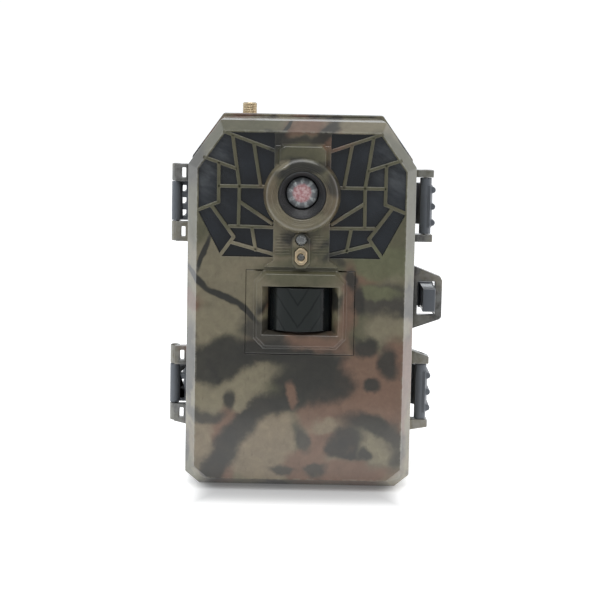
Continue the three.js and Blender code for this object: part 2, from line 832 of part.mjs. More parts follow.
// An open-fronted tray with a pair of rails that the battery cover slides in.
function batteryTray() {
  const { half, low, high, front, back } = TRAY;
  const tub = cut(
    block([-half, half], [front, back], [low, high]),
    block([-half + 1.5, half - 1.5], [front - 1, back - 1.5], [low + 1.5, high - 1.5]),
  );
  const rails = [-1, 1].map((side) => {
    const at = (a, b) => [Math.min(side * a, side * b), Math.max(side * a, side * b)];
    return join(
      block(at(31.7, half), [0.4, front + 0.5], [low, high]),
      block(at(30.4, half), [0.4, 0.9], [low, high]),
      block(at(30.4, half), [front, front + 0.9], [low, high]),
    );
  });
  return join(tub, ...rails);
}

function batteryCover() {
  const body = block([-31.4, 31.4], [1.2, 2.7], [TRAY.low + 0.6, TRAY.high - 0.6]);
  const grips = [0, 1, 2].map((n) => block([-9, 9], [0.4, 1.3], [60 + 3 * n, 61.4 + 3 * n]));
  return join(body, ...grips);
}

// One AA cell, standing with its nub up or down.
function cell(x, y, up) {
  const { radius, length, nub, nubLength, low } = CELL;
  const can = length - nubLength;
  const canLow = up ? low : low + nubLength;
  const nubMiddle = up ? low + length - nubLength : low + nubLength;
  return join(
    bar("z", radius, can, [x, y, canLow + can / 2], 16),
    bar("z", nub, 2 * nubLength, [x, y, nubMiddle], 10),
  );
}

class ConeSpring extends THREE.Curve {
  constructor(x, y, low, high, turns) {
    super();
    Object.assign(this, { x, y, low, high, turns });
  }
  getPoint(t, target = new THREE.Vector3()) {
    const angle = 2 * Math.PI * this.turns * t;
    const radius = 4.6 - 2.4 * t;
    return target.set(
      this.x + radius * Math.cos(angle),
      this.y + radius * Math.sin(angle),
      this.low + (this.high - this.low) * t,
    );
  }
}

// Two cone springs on one plate, which join the neighbouring cells above them.
function batterySpring(side) {
  const [near, far] = [7.5 * side, 22.5 * side];
  const section = new THREE.Shape();
  section.absarc(0, 0, 0.45, 0, 2 * Math.PI, false);
  const low = TRAY.low + 1.5 + GAP;
  const coils = [near, far].map((x) => {
    const path = new ConeSpring(x, CELL_Y[0], low + 0.4, CELL.low - 0.8, 3);
    return solid(
      new THREE.ExtrudeGeometry(section, { extrudePath: path, steps: 36, curveSegments: 3 }),
    );
  });
  const [x0, x1] = [Math.min(near, far) - 5.5, Math.max(near, far) + 5.5];
  const base = block([x0, x1], [CELL_Y[0] - 5.5, CELL_Y[0] + 5.5], [low, low + 0.5]);
  return join(base, ...coils);
}

// ---------------------------------------------------------------- rear half: sockets and boards

function smaConnector() {
  const { low, high, radius } = SMA;
  const at = (z) => [SMA.x, SMA.y, z];
  const body = join(
    bar("z", radius, high - low, at((low + high) / 2), 16),
    bar("z", 4.4, 1.6, at(SMA.seat - 4), 6),
  );
  const socket = bar("z", 2.2, 5, at(high - 2), 12);
  return join(cut(body, socket), bar("z", 0.6, 5, at(high - 3.4), 8));
}

const smaNut = () =>
  cut(
    bar("z", 4.6, 1.4, [SMA.x, SMA.y, SMA.seat + 1], 6),
    bar("z", SMA.radius + 0.25, 6, [SMA.x, SMA.y, SMA.seat + 1], 16),
  );

const MODEM_Y = 30.6; // the front of the radio board

const modemBoard = () =>
  join(
    plate(
      [
        [33, 82],
        [33, 118],
        [25, 129],
        [-33, 129],
        [-33, 82],
      ],
      MODEM_Y,
      MODEM_Y + 1.6,
    ),
    block([-14, 16], [MODEM_Y - 2.4, MODEM_Y + 0.2], [90, 120]),
  );

// The panel over the radio board, seen above the batteries when the camera is open.
const modemCover = () =>
  plate(
    [
      [36, 76.5],
      [36, 118],
      [28.5, 129],
      [-28.5, 129],
      [-36, 118],
      [-36, 76.5],
    ],
    4.2,
    6,
  );

const tripodInsert = () =>
  cut(
    bar("z", TRIPOD.radius, TRIPOD.depth - GAP, [0, TRIPOD.y, (TRIPOD.depth - GAP) / 2], 20),
    bar("z", TRIPOD.thread, 40, [0, TRIPOD.y, 0], 16),
  );

const powerJack = () =>
  cut(
    block([POWER.x - 4.4, POWER.x + 4.4], [POWER.y - 5, POWER.y + 5], [3.9, 11.6]),
    bar("z", 3, 10, [POWER.x, POWER.y, 5], 12),
  );

// The rubber plug: a flat cap with a stem that fills the power socket.
const powerPlug = () =>
  join(
    bar("z", 4.9, 1.8, [POWER.x, POWER.y, 1.4], 16),
    bar("z", 2.5, 6.6, [POWER.x, POWER.y, 5.4], 12),
  );

// ---------------------------------------------------------------- rear half: tree bracket

const BRACKET = { half: 36, rail: 4, low: 44, high: 112, front: 38.3, plateBack: 41.3, back: 52 };
const STRAP = { low: 65, high: 95, front: 42.6, back: 48 };

// A rail whose edge is cut into teeth that bite the bark, with a slot for the strap.
function bracketRail(side) {
  const { half, rail, low, high, plateBack, back } = BRACKET;
  const teeth = 9;
  const pitch = (high - low - 8) / teeth;
  const outline = [[plateBack - 1, low], [back - 3, low], [back, low + 4]];
  for (let n = 0; n < teeth; n++) {
    const z = low + 4 + n * pitch;
    if (n > 0) outline.push([back, z]);
    outline.push([back, z + 0.45 * pitch], [back - 2.2, z + 0.7 * pitch]);
  }
  outline.push([back, high - 4], [back - 3, high], [plateBack - 1, high]);
  const shape = new THREE.Shape(outline.map(([y, z]) => new THREE.Vector2(y, z)));
  const geometry = new THREE.ExtrudeGeometry(shape, { depth: rail, bevelEnabled: false });
  geometry.rotateY(Math.PI / 2);
  geometry.rotateX(Math.PI / 2);
  geometry.translate(side > 0 ? half - rail : -half, 0, 0);
  return solid(geometry);
}

function treeBracket() {
  const { half, low, high, front, plateBack } = BRACKET;
  const base = plate(cutRectangle(half, low, high, 6), front, plateBack);
  const slot = block([-half - 2, half + 2], [STRAP.front, STRAP.back], [STRAP.low, STRAP.high]);
  const holes = SCREW_X.map((x) => bar("y", 1.9, 12, [x, front, SCREW_Z], 12));
  return cut(join(base, bracketRail(1), bracketRail(-1)), slot, ...holes);
}

// ---------------------------------------------------------------- assembly

const camera = new THREE.Group();

function add(name, material, made) {
  const mesh = new THREE.Mesh(geometryOf(made), materials[material]);
  mesh.name = name;
  mesh.position.y = -ORIGIN_Y;
  camera.add(mesh);
}

const SIDES = { left: -1, right: 1 };

add("front_cover", "camo", frontCover());
add("pir_frame", "camo", pirFrame());
add("pir_lens", "smokedAcrylic", pirLens());
add("pir_housing", "blackPlastic", pirHousing());
add("pir_sensor", "steel", pirSensor());
for (const [name, side] of Object.entries(SIDES)) {
  add("ir_window_" + name, "smokedAcrylic", lampPane(side));
  add("led_board_" + name, "board", lampBoard(side));
}
add("lens_bezel", "blackPlastic", lensBezel());
add("lens_glass", "glass", lensGlass());
add("lens_barrel", "blackPlastic", lensBarrel());
add("lens_holder", "blackPlastic", lensHolder());
add("ir_cut_filter", "glass", irCutFilter());
add("status_led", "clearPlastic", statusLed());
add("light_sensor_bezel", "gold", lightSensorBezel());
add("main_board", "board", mainBoard());
add("lcd_display", "screen", lcdDisplay());
add("inner_panel", "blackPlastic", innerPanel());
for (const [name, centre] of Object.entries(KEYS)) add(name, "key", key(centre));
add("mode_switch", "key", modeSwitch());
add("memory_card", "card", memoryCard());
POSTS.forEach(([x, z], n) => {
  add("panel_screw_" + (n + 1), "steel", screw(x, -1.7, z, 2.5, 0.7, 6, 1));
});

add("rear_housing", "camo", rearHousing());
add("housing_gasket", "rubber", housingGasket());
for (const hinge of HINGES) {
  add("hinge_block_" + hinge.name, "darkPlastic", hingeBlock(hinge));
  add("hinge_pin_" + hinge.name, "steel", hingePin(hinge));
}
for (const item of LATCHES) {
  add("latch_" + item.name, "darkPlastic", latch(item));
  add("latch_pin_" + item.name, "steel", latchPin(item));
}
add("battery_tray", "blackPlastic", batteryTray());
add("battery_cover", "blackPlastic", batteryCover());
let count = 0;
for (const y of CELL_Y) {
  for (const x of CELL_X) {
    count += 1;
    add("battery_cell_" + count, "cellSleeve", cell(x, y, count % 2 === 0));
  }
}
for (const [name, side] of Object.entries(SIDES)) {
  add("battery_spring_" + name, "steel", batterySpring(side));
}
add("modem_board", "board", modemBoard());
add("modem_cover", "blackPlastic", modemCover());
add("sma_connector", "gold", smaConnector());
add("sma_nut", "gold", smaNut());
add("tripod_insert", "brass", tripodInsert());
add("power_jack", "blackPlastic", powerJack());
add("power_plug", "rubber", powerPlug());
add("tree_bracket", "camo", treeBracket());
for (const [name, side] of Object.entries(SIDES)) {
  add("bracket_screw_" + name, "steel", screw(24 * side, 43.2, SCREW_Z, 3.2, 1.3, 7, 1));
}

export default camera;
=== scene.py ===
"""The looks of a camouflaged trail camera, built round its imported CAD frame.

CAD nodes whose shape is right keep it and get rounded edges from modifiers. The front cover, the optics,
the aerial socket and other small pieces that the eye rests on are rebuilt here as finer meshes.
Outlines are [x, z] points in millimetres, seen from the front. y is measured from the meeting plane.
"""

import json
import math

import bmesh
import bpy
from mathutils import Matrix, Vector
from mathutils.geometry import tessellate_polygon


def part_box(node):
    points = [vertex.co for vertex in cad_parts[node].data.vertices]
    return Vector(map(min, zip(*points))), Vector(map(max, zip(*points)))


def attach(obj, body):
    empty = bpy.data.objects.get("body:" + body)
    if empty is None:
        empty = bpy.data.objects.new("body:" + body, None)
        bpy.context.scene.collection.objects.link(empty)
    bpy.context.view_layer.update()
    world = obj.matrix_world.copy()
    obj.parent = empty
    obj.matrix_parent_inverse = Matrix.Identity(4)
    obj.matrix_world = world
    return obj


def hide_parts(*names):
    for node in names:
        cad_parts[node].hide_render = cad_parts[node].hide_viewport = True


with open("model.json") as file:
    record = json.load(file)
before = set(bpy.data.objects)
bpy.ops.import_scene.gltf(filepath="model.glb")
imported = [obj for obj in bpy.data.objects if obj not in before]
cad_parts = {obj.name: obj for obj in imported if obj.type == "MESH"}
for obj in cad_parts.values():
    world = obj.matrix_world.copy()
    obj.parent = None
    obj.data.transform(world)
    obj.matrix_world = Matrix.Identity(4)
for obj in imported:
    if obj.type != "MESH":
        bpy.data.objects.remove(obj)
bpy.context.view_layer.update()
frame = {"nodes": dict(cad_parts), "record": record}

MM = 0.001
SEAM_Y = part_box("housing_gasket")[0].y - 0.1 * MM  # the plane where the two halves meet

# The case, as the CAD source builds it.
HALF = 43.1  # half its width
TOP = 140
TOP_CUT = (12, 16.8)  # width and height of the cut across each upper corner
BOTTOM_CUT = (5.5, 4.5)
FACE = -34  # the flat front
BEVEL = 4  # the sloped edge round the face, as wide as this from the front
BEVEL_DEPTH = 7
WALL = 2.2
FRONT_WALL = 1.8
INNER_FACE = FACE + FRONT_WALL
LIP = 0.9  # the rim at the seam stands out this far
LIP_DEPTH = 3
SEAM_GAP = 0.15
WALL_REACH = 26.0  # the walls are straight this far in front of and behind the seam
COLUMN = 10.5  # half the width of the column between the lamp windows
PIR_HALF, PIR_LOW, PIR_HIGH = 20.4, 52.3, 84.2  # the plate round the motion sensor

# Places on the column. The lens is drawn half a millimetre above the CAD's, as the photo shows it.
LENS_Z = 112.7
LAMP_Z = 96
PORT_Z = 89.5
WELL = 9.9  # radius of the hole behind the lens collar
HOLE_EDGE = 0.15  # radius of the rounded front edge of a hole

# Only edges that turn by more degrees than this are rounded.
EDGE_ANGLE = 28


# ---------------------------------------------------------------- outlines


def inset_outline(points, inset):
    """A closed outline moved inwards by inset, or outwards if it is negative."""
    area = sum(a[0] * b[1] - b[0] * a[1] for a, b in zip(points, points[1:] + points[:1]))
    sign = 1 if area > 0 else -1
    count = len(points)
    moved = []
    for i, here in enumerate(points):
        before = Vector(points[i - 1])
        after = Vector(points[(i + 1) % count])
        one = (Vector(here) - before).normalized()
        two = (after - Vector(here)).normalized()
        normal_one = Vector((-one.y, one.x)) * sign
        normal_two = Vector((-two.y, two.x)) * sign
        middle = normal_one + normal_two
        moved.append(tuple(Vector(here) + middle * (2 * inset / middle.length_squared)))
    return moved


def round_corners(points, radius, steps=5, closed=True):
    """The same line with each corner turned into an arc of about that radius."""
    count = len(points)
    rounded = []
    for i, here in enumerate(points):
        here = Vector(here)
        if not closed and i in (0, count - 1):
            rounded.append(tuple(here))
            continue
        to_before = Vector(points[i - 1]) - here
        to_after = Vector(points[(i + 1) % count]) - here
        half_angle = to_before.angle(to_after) / 2
        reach = radius / max(math.tan(half_angle), 1e-3)
        reach = min(reach, 0.45 * to_before.length, 0.45 * to_after.length)
        start = here + to_before.normalized() * reach
        end = here + to_after.normalized() * reach
        for n in range(steps + 1):
            t = n / steps
            rounded.append(tuple(start * (1 - t) ** 2 + here * (2 * t * (1 - t)) + end * t * t))
    return rounded


def corner_cut():
    """The direction in x and z that the upper right corner's cut faces, and its distance that way."""
    size = math.hypot(*TOP_CUT)
    nx, nz = TOP_CUT[1] / size, TOP_CUT[0] / size
    return nx, nz, nx * HALF + nz * (TOP - TOP_CUT[1])


def case_outline(inset, bottom=None):
    """The case octagon set in by inset, with its underside set in by bottom."""
    half = HALF - inset
    top = TOP - inset
    low = inset if bottom is None else bottom
    nx, nz, distance = corner_cut()
    reach = distance - inset
    shoulder = (reach - nx * half) / nz
    crown = (reach - nz * top) / nx
    right = [(half - BOTTOM_CUT[0], low), (half, low + BOTTOM_CUT[1]), (half, shoulder), (crown, top)]
    return right + mirrored(right)


def cut_rectangle(half, low, high, cut):
    """A rectangle from low to high with its four corners cut off."""
    right = [(half - cut, low), (half, low + cut), (half, high - cut), (half - cut, high)]
    return right + mirrored(right)


def circle(x, z, radius, count=64):
    turn = 2 * math.pi / count
    return [(x + radius * math.cos(turn * n), z + radius * math.sin(turn * n)) for n in range(count)]


def mirrored(points):
    return [(-x, z) for x, z in reversed(points)]


def quarter_turn(steps):
    """Angles from nothing to a right angle."""
    return [0.5 * math.pi * n / steps for n in range(steps + 1)]


# ---------------------------------------------------------------- meshes


def case_point(x, y, z):
    return Vector((x * MM, y * MM + SEAM_Y, z * MM))


def ring(outline, y):
    return [case_point(x, y, z) for x, z in outline]


class Builder:
    """Collects points and faces, then makes one mesh object of them."""

    def __init__(self):
        self.mesh = bmesh.new()

    def loft(self, rings):
        """Walls that join each ring to the next."""
        rows = [[self.mesh.verts.new(p) for p in r] for r in rings]
        for row, following in zip(rows, rows[1:]):
            for i in range(len(row)):
                j = (i + 1) % len(row)
                self.mesh.faces.new((row[i], row[j], following[j], following[i]))
        return self

    def fill(self, *loops):
        """A flat face with holes: the first loop is its edge."""
        points = [p for loop in loops for p in loop]
        verts = [self.mesh.verts.new(p) for p in points]
        for triangle in tessellate_polygon([list(loop) for loop in loops]):
            if len(set(triangle)) == 3:
                self.mesh.faces.new([verts[i] for i in triangle])
        return self

    def prism(self, outline, y0, y1):
        """A plate from y0 back to y1."""
        front = [self.mesh.verts.new(p) for p in ring(outline, y0)]
        back = [self.mesh.verts.new(p) for p in ring(outline, y1)]
        count = len(front)
        self.mesh.faces.new(front)
        self.mesh.faces.new(list(reversed(back)))
        for i in range(count):
            j = (i + 1) % count
            self.mesh.faces.new((front[j], front[i], back[i], back[j]))
        return self

    def beam(self, start, end, width, y0, y1):
        """A straight bar of that width between two [x, z] points, and a quarter width past each."""
        a, b = Vector(start), Vector(end)
        along = (b - a).normalized()
        side = Vector((-along.y, along.x)) * width / 2
        a -= along * width / 4
        b += along * width / 4
        return self.prism([tuple(a - side), tuple(b - side), tuple(b + side), tuple(a + side)], y0, y1)

    def lathe(self, profile, x, z, count=96):
        """A profile of [radius, y] points turned about the line along y through (x, z)."""
        rings = []
        for radius, y in profile:
            rings.append(ring(circle(x, z, max(radius, 1e-4), count), y))
        return self.loft(rings)

    def finish(self, name, body, material, slot, replaces=(), sharp=35):
        """Welds the points, turns the faces outwards and gives the object its body and look."""
        bmesh.ops.remove_doubles(self.mesh, verts=self.mesh.verts, dist=2e-6)
        bmesh.ops.dissolve_degenerate(self.mesh, edges=self.mesh.edges, dist=1e-6)
        bmesh.ops.recalc_face_normals(self.mesh, faces=self.mesh.faces)
        data = bpy.data.meshes.new(name)
        self.mesh.to_mesh(data)
        self.mesh.free()
        return dress(data, name, body, material, slot, replaces, sharp)


def dress(data, name, body, material, slot, replaces=(), sharp=35):
    data.shade_smooth()
    data.set_sharp_from_angle(angle=math.radians(sharp))
    data.materials.clear()
    data.materials.append(material)
    piece = bpy.data.objects.new(name, data)
    bpy.context.scene.collection.objects.link(piece)
    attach(piece, body)
    if replaces:
        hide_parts(*replaces)
    even_normals(piece)
    return piece


def even_normals(piece):
    """Shading follows the big faces, so flat faces look flat right up to their rounded edges."""
    normals = piece.modifiers.new("even_normals", "WEIGHTED_NORMAL")
    normals.keep_sharp = True
    normals.weight = 80


def round_edges(piece, width, segments=3):
    """Rounds a piece's edges to about that many millimetres."""
    bevel = piece.modifiers.new("rounded_edges", "BEVEL")
    bevel.width = width * MM
    bevel.segments = segments
    bevel.limit_method = "ANGLE"
    bevel.angle_limit = math.radians(EDGE_ANGLE)
    bevel.use_clamp_overlap = False
    bevel.harden_normals = True
    # The even normals have to follow the rounding, so they are taken off and put back on.
    if "even_normals" in piece.modifiers:
        piece.modifiers.remove(piece.modifiers["even_normals"])
    even_normals(piece)


def soften_cad_node(node, width, joined):
    """Rounds a CAD node's edges, after joining its triangles into flat faces if joined is true."""
    weld = node.modifiers.new("weld", "WELD")
    weld.merge_threshold = 1e-6
    if joined:
        flat = node.modifiers.new("flat_faces", "DECIMATE")
        flat.decimate_type = "DISSOLVE"
        flat.angle_limit = math.radians(2)
    for face in node.data.polygons:
        face.use_smooth = True
    round_edges(node, width, segments=2)


# ---------------------------------------------------------------- shader graphs


def set_range(node, *numbers):
    """Sets a Map Range node's two input limits and then its two output limits."""
    for name, number in zip(("From Min", "From Max", "To Min", "To Max"), numbers):
        node.inputs[name].default_value = number


class Graph:
    """A node tree with short calls for the nodes that the materials use."""

    def __init__(self, name):
        self.material = bpy.data.materials.new(name)
        self.material.use_nodes = True
        self.tree = self.material.node_tree
        self.shader = self.tree.nodes["Principled BSDF"]
        self.place = self.add("ShaderNodeTexCoord").outputs["Object"]

    def add(self, kind, **settings):
        node = self.tree.nodes.new(kind)
        for key, value in settings.items():
            setattr(node, key, value)
        return node

    def feed(self, socket, value):
        if isinstance(value, bpy.types.NodeSocket):
            self.tree.links.new(value, socket)
        elif isinstance(value, tuple) and len(value) == 3 and socket.type == "RGBA":
            socket.default_value = (*value, 1)
        else:
            socket.default_value = value

    def math(self, operation, a, b=0.0, clamp=False):
        node = self.add("ShaderNodeMath", operation=operation, use_clamp=clamp)
        self.feed(node.inputs[0], a)
        self.feed(node.inputs[1], b)
        return node.outputs[0]

    def vector(self, operation, a, b=(0, 0, 0)):
        node = self.add("ShaderNodeVectorMath", operation=operation)
        self.feed(node.inputs[0], a)
        if isinstance(b, (int, float)):
            node.inputs["Scale"].default_value = b
        else:
            self.feed(node.inputs[1], b)
        return node.outputs["Value" if operation in ("LENGTH", "DISTANCE") else "Vector"]

    def scaled(self, place, factor, offset):
        """place times factor, plus offset."""
        node = self.add("ShaderNodeVectorMath", operation="MULTIPLY_ADD")
        for socket, value in zip(node.inputs, (place, factor, offset)):
            self.feed(socket, value)
        return node.outputs["Vector"]

    def noise(self, size, detail=4, roughness=0.5, place=None, distortion=0.0, colour=False):
        """Noise whose features are about size millimetres across."""
        node = self.add("ShaderNodeTexNoise")
        self.feed(node.inputs["Vector"], self.place if place is None else place)
        node.inputs["Scale"].default_value = 1 / (size * MM)
        node.inputs["Detail"].default_value = detail
        node.inputs["Roughness"].default_value = roughness
        node.inputs["Distortion"].default_value = distortion
        return node.outputs["Color" if colour else "Fac"]

    def step(self, value, low, high, out_low=0.0, out_high=1.0):
        """A smooth step from out_low at low to out_high at high."""
        node = self.add("ShaderNodeMapRange", interpolation_type="SMOOTHSTEP", clamp=False)
        self.feed(node.inputs["Value"], value)
        set_range(node, low, high, out_low, out_high)
        return node.outputs["Result"]

    def split(self, vector):
        """A vector's x, y and z."""
        node = self.add("ShaderNodeSeparateXYZ")
        self.feed(node.inputs[0], vector)
        return node.outputs["X"], node.outputs["Y"], node.outputs["Z"]

    def mix(self, share, a, b, blend="MIX"):
        node = self.add("ShaderNodeMix", data_type="RGBA", blend_type=blend)
        self.feed(node.inputs[0], share)
        self.feed(node.inputs[6], a)
        self.feed(node.inputs[7], b)
        return node.outputs[2]

    def mapped(self, location=(0, 0, 0), rotation=(0, 0, 0), scale=(1, 1, 1), place=None):
        """Coordinates measured from location, turned by rotation, in units of scale."""
        node = self.add("ShaderNodeMapping", vector_type="TEXTURE")
        self.feed(node.inputs["Vector"], self.place if place is None else place)
        node.inputs["Location"].default_value = location
        node.inputs["Rotation"].default_value = rotation
        node.inputs["Scale"].default_value = scale
        return node.outputs["Vector"]

    def bump(self, height, distance, strength):
        """The normal over a height, with bumps up to distance millimetres tall."""
        node = self.add("ShaderNodeBump")
        self.feed(node.inputs["Height"], height)
        node.inputs["Distance"].default_value = distance * MM
        node.inputs["Strength"].default_value = strength
        return node.outputs["Normal"]

    def set(self, **values):
        """Feeds the shader's inputs, by the short names below."""
        names = {
            "color": "Base Color",
            "roughness": "Roughness",
            "metallic": "Metallic",
            "normal": "Normal",
            "coat": "Coat Weight",
            "coat_roughness": "Coat Roughness",
            "coat_ior": "Coat IOR",
            "ior": "IOR",
            "transmission": "Transmission Weight",
            "specular": "Specular IOR Level",
            "emission": "Emission Color",
            "glow": "Emission Strength",
        }
        for key, value in values.items():
            self.feed(self.shader.inputs[names[key]], value)
        return self.material


# ---------------------------------------------------------------- materials

# Print colours, as linear RGB.
KHAKI = (0.160, 0.140, 0.092)
TAN = (0.170, 0.136, 0.090)
OLIVE = (0.082, 0.078, 0.046)
MOSS = (0.100, 0.102, 0.056)
RUST = (0.135, 0.080, 0.054)
DARK = (0.023, 0.022, 0.018)
BARK = (0.042, 0.038, 0.030)
BARK_TAN = (0.130, 0.104, 0.066)

# Blotches of the print on the front: centre x and z, half width, half height, lean in degrees, colour.
# Each covers the ones before it. Leans are whole tens, because blotches that lean alike share nodes.
BLOTCHES = [
    (-28, 112, 20, 26, 0, OLIVE),
    (28, 112, 20, 26, 0, OLIVE),
    (-26, 84, 18, 14, 0, KHAKI),
    (-30, 66, 14, 7, 20, KHAKI),
    (-14, 62, 8, 5, 0, BARK),
    (0, 58, 16, 10, 0, BARK),
    (0, 83, 16, 5, 0, OLIVE),
    (31, 87, 13, 7, 0, MOSS),
    (31, 73, 13, 6, 0, BARK),
    (30, 76, 9, 2.6, -10, MOSS),
    (33, 63, 9, 6, 0, KHAKI),
    (18, 72, 3.5, 14, 0, RUST),
    (18, 80, 2.5, 4, 0, DARK),
    (21, 73, 3, 5, 0, DARK),
    (4, 57, 15, 4, 0, RUST),
    (-9, 60, 5, 5, 0, BARK),
    (24, 46, 10, 11, 0, RUST),
    (37, 42, 7, 16, 0, RUST),
    (13, 31, 14, 7, 0, RUST),
    (27, 33, 9, 6, 0, RUST),
    (-37, 20, 4, 10, -10, TAN),
    (-14, 25, 11, 9, 40, TAN),
    (-14, 12, 14, 10, -10, TAN),
    (-6, 20, 5, 13, 0, TAN),
    (4, 8, 9, 9, 0, RUST),
    (12, 20, 8, 9, 0, RUST),
    (22, 6, 16, 4, 0, RUST),
    (25, 56, 5, 3.8, 0, DARK),
    (34.5, 49, 4, 6, 20, DARK),
    (28, 41, 3.5, 2.8, 10, DARK),
    (-32, 50, 16, 8, 10, DARK),
    (-14, 53, 14, 4.5, 10, DARK),
    (0, 46, 16, 7, 0, DARK),
    (9, 41, 12, 7, 0, DARK),
    (-4, 37, 11, 5, 20, DARK),
    (-14, 31.5, 9, 4.5, 30, DARK),
    (-22, 25, 8, 5.5, 40, DARK),
    (-28, 17, 5, 9, -20, DARK),
    (-31.5, 8, 4.5, 8, -10, DARK),
    (-37, 30, 8, 3, 0, BARK),
    (-42, 52, 3, 12, 0, BARK),
    (-41, 124, 5, 8, 0, BARK),
    (-23, 41.5, 15, 4.2, 20, KHAKI),
    (-34, 35.5, 7, 4, 0, KHAKI),
    (-22, 34, 5, 3, 20, KHAKI),
    (-27, 35.5, 3, 4, 0, DARK),
    (-3.8, 37.5, 2.2, 4.2, 10, RUST),
    (2.5, 21, 3.4, 6, 20, BARK),
    (12, 26.5, 6, 3, 0, TAN),
    (18, 21, 6, 5, 20, DARK),
    (29, 25, 12, 3.6, -20, DARK),
    (37, 16, 4, 9, 10, BARK),
    (15.5, 15, 3.6, 4.5, 0, DARK),
    (29.5, 15, 7, 6, 0, KHAKI),
    (25, 13.5, 2.8, 3.2, 0, DARK),
    (-6, 7, 5, 2, 0, BARK),
    (8, 7, 5, 2.4, 0, BARK),
    (-22, 139, 14, 4, 0, OLIVE),
    (2, 139, 9, 4, 10, RUST),
    (22, 139, 12, 4, 0, KHAKI),
    (9, 136, 7, 2.6, 40, DARK),
    (-2, 133, 8, 2, 0, BARK),
    (0, 127.5, 10, 4.5, 0, OLIVE),
    (-12, 111, 4.5, 10, 0, BARK_TAN),
    (12, 109, 4.5, 10, 0, BARK_TAN),
    (1, 123.5, 9, 3, 0, DARK),
    (-9, 122.5, 3.5, 1.8, 30, KHAKI),
    (-4, 104, 11, 7, 0, KHAKI),
    (12.5, 117, 2.5, 4, 30, BARK),
    (9, 104, 4, 3, 0, KHAKI),
    (0, 90.5, 12, 2, 0, OLIVE),
]

# Twigs of the print: each is a thin blotch between two points.
TWIGS = [
    ((-43, 85), (-35, 77), 1.3),
    ((-36, 77.6), (-22, 70.6), 1.3),
    ((-24, 71.6), (-15.5, 65), 1.2),
    ((-34, 97), (-38.5, 84), 1.0),
    ((-12, 129), (-4, 141), 0.7),
]


BLOTCH_DEPTH, TWIG_DEPTH = 26, 22  # half of how far they reach in y, so that they also wrap the bevel
# The pale grey of the painted glare haze.
HAZE_GREY = (0.31, 0.31, 0.30)
RUBBED = (0.24, 0.23, 0.18)
BARE_WALL = (0.050, 0.050, 0.038)
TONGUE_DARK_BLUE = (0.098, 0.108, 0.123)


def camo_print(name, blotched, dark_box=None):
    """Glossy film print: 3-D blotches everywhere, and placed ones where blotched is true.

    The box given last, as its middle and half size, is coloured plain dark grey-blue."""
    g = Graph(name)
    coarse = g.vector("SUBTRACT", g.noise(16, 2, 0.5, colour=True), (0.5,) * 3)
    fine = g.vector("SUBTRACT", g.noise(3.5, 3, 0.6, colour=True), (0.5,) * 3)
    wander = g.vector("ADD", g.vector("SCALE", coarse, 11 * MM), g.vector("SCALE", fine, 3.2 * MM))
    place = g.vector("ADD", g.place, wander)
    colour = print_ground(g, place)
    if blotched:
        colour = print_blotches(g, colour, place)
        colour = print_twigs(g, colour, wander)
    colour = print_litter(g, colour)
    colour = wear_and_haze(g, colour)
    if dark_box:
        colour = mix_box(g, colour, *dark_box, TONGUE_DARK_BLUE)
    smear = g.noise(9, 5, 0.65)
    return g.set(
        color=colour,
        roughness=g.step(smear, 0.3, 0.75, 0.30, 0.46),
        specular=0.25,
        coat=0.85,
        coat_ior=1.55,
        coat_roughness=0.19,
        normal=g.bump(g.noise(0.9, 3, 0.6), 0.01, 0.12),
    )


def print_ground(g, place):
    """Large patches of four colours, a little taller than they are wide."""
    wide = g.mapped(scale=(1, 1, 1.35), place=place)
    colour = g.mix(g.step(g.noise(30, 2, 0.5, wide), 0.42, 0.56), OLIVE, KHAKI)
    rust_place = g.vector("ADD", wide, (0.3, 0.1, 0.2))
    colour = g.mix(g.step(g.noise(24, 2, 0.5, rust_place), 0.54, 0.64), colour, RUST)
    dark_place = g.vector("ADD", wide, (0.7, 0.4, 0.9))
    return g.mix(g.step(g.noise(20, 3, 0.5, dark_place), 0.52, 0.62), colour, DARK)


def print_blotches(g, colour, place):
    """Soft-edged ellipses, each laid over the ones before it."""
    leaning = {0: place}
    for x, z, half_width, half_height, lean, shade in BLOTCHES:
        turn = -math.radians(lean)
        if lean not in leaning:
            leaning[lean] = g.mapped(rotation=(0, turn, 0), place=place)
        centre = Matrix.Rotation(turn, 3, "Y").inverted() @ case_point(x, FACE, z)
        size = (half_width * MM, BLOTCH_DEPTH * MM, half_height * MM)
        offset = [-middle / half for middle, half in zip(centre, size)]
        local = g.scaled(leaning[lean], [1 / half for half in size], offset)
        soft = min(0.4, 2.0 / min(half_width, half_height))
        inside = g.step(g.vector("LENGTH", local), 1 + soft, 1 - soft, 0, 0.94)
        colour = g.mix(inside, colour, shade)
    return colour


def print_twigs(g, colour, wander):
    """Thin dark twigs that wander less than the blotches do."""
    for start, end, width in TWIGS:
        a, b = case_point(start[0], FACE, start[1]), case_point(end[0], FACE, end[1])
        lean = math.atan2(b.z - a.z, b.x - a.x)
        size = ((b - a).length / 2 * 1.12, TWIG_DEPTH * MM, width * MM)
        bent = g.vector("ADD", g.place, g.vector("SCALE", wander, 0.3))
        local = g.mapped(tuple((a + b) / 2), (0, -lean, 0), size, bent)
        colour = g.mix(g.step(g.vector("LENGTH", local), 1.3, 0.7), colour, DARK)
    return colour


def print_litter(g, colour):
    """Leaf litter and bark grain printed over the blotches."""
    litter = g.noise(3.2, 7, 0.68, distortion=0.6)
    colour = g.mix(0.6, colour, g.mix(litter, (0.28,) * 3, (0.86,) * 3), "OVERLAY")
    mottle = g.noise(7, 5, 0.65, distortion=0.4)
    colour = g.mix(0.55, colour, g.mix(mottle, (0.30,) * 3, (0.78,) * 3), "OVERLAY")
    grain = g.noise(1.5, 4, 0.6, g.mapped(scale=(1, 1, 3.2)))
    return g.mix(g.step(grain, 0.6, 0.8, 0, 0.3), colour, DARK)


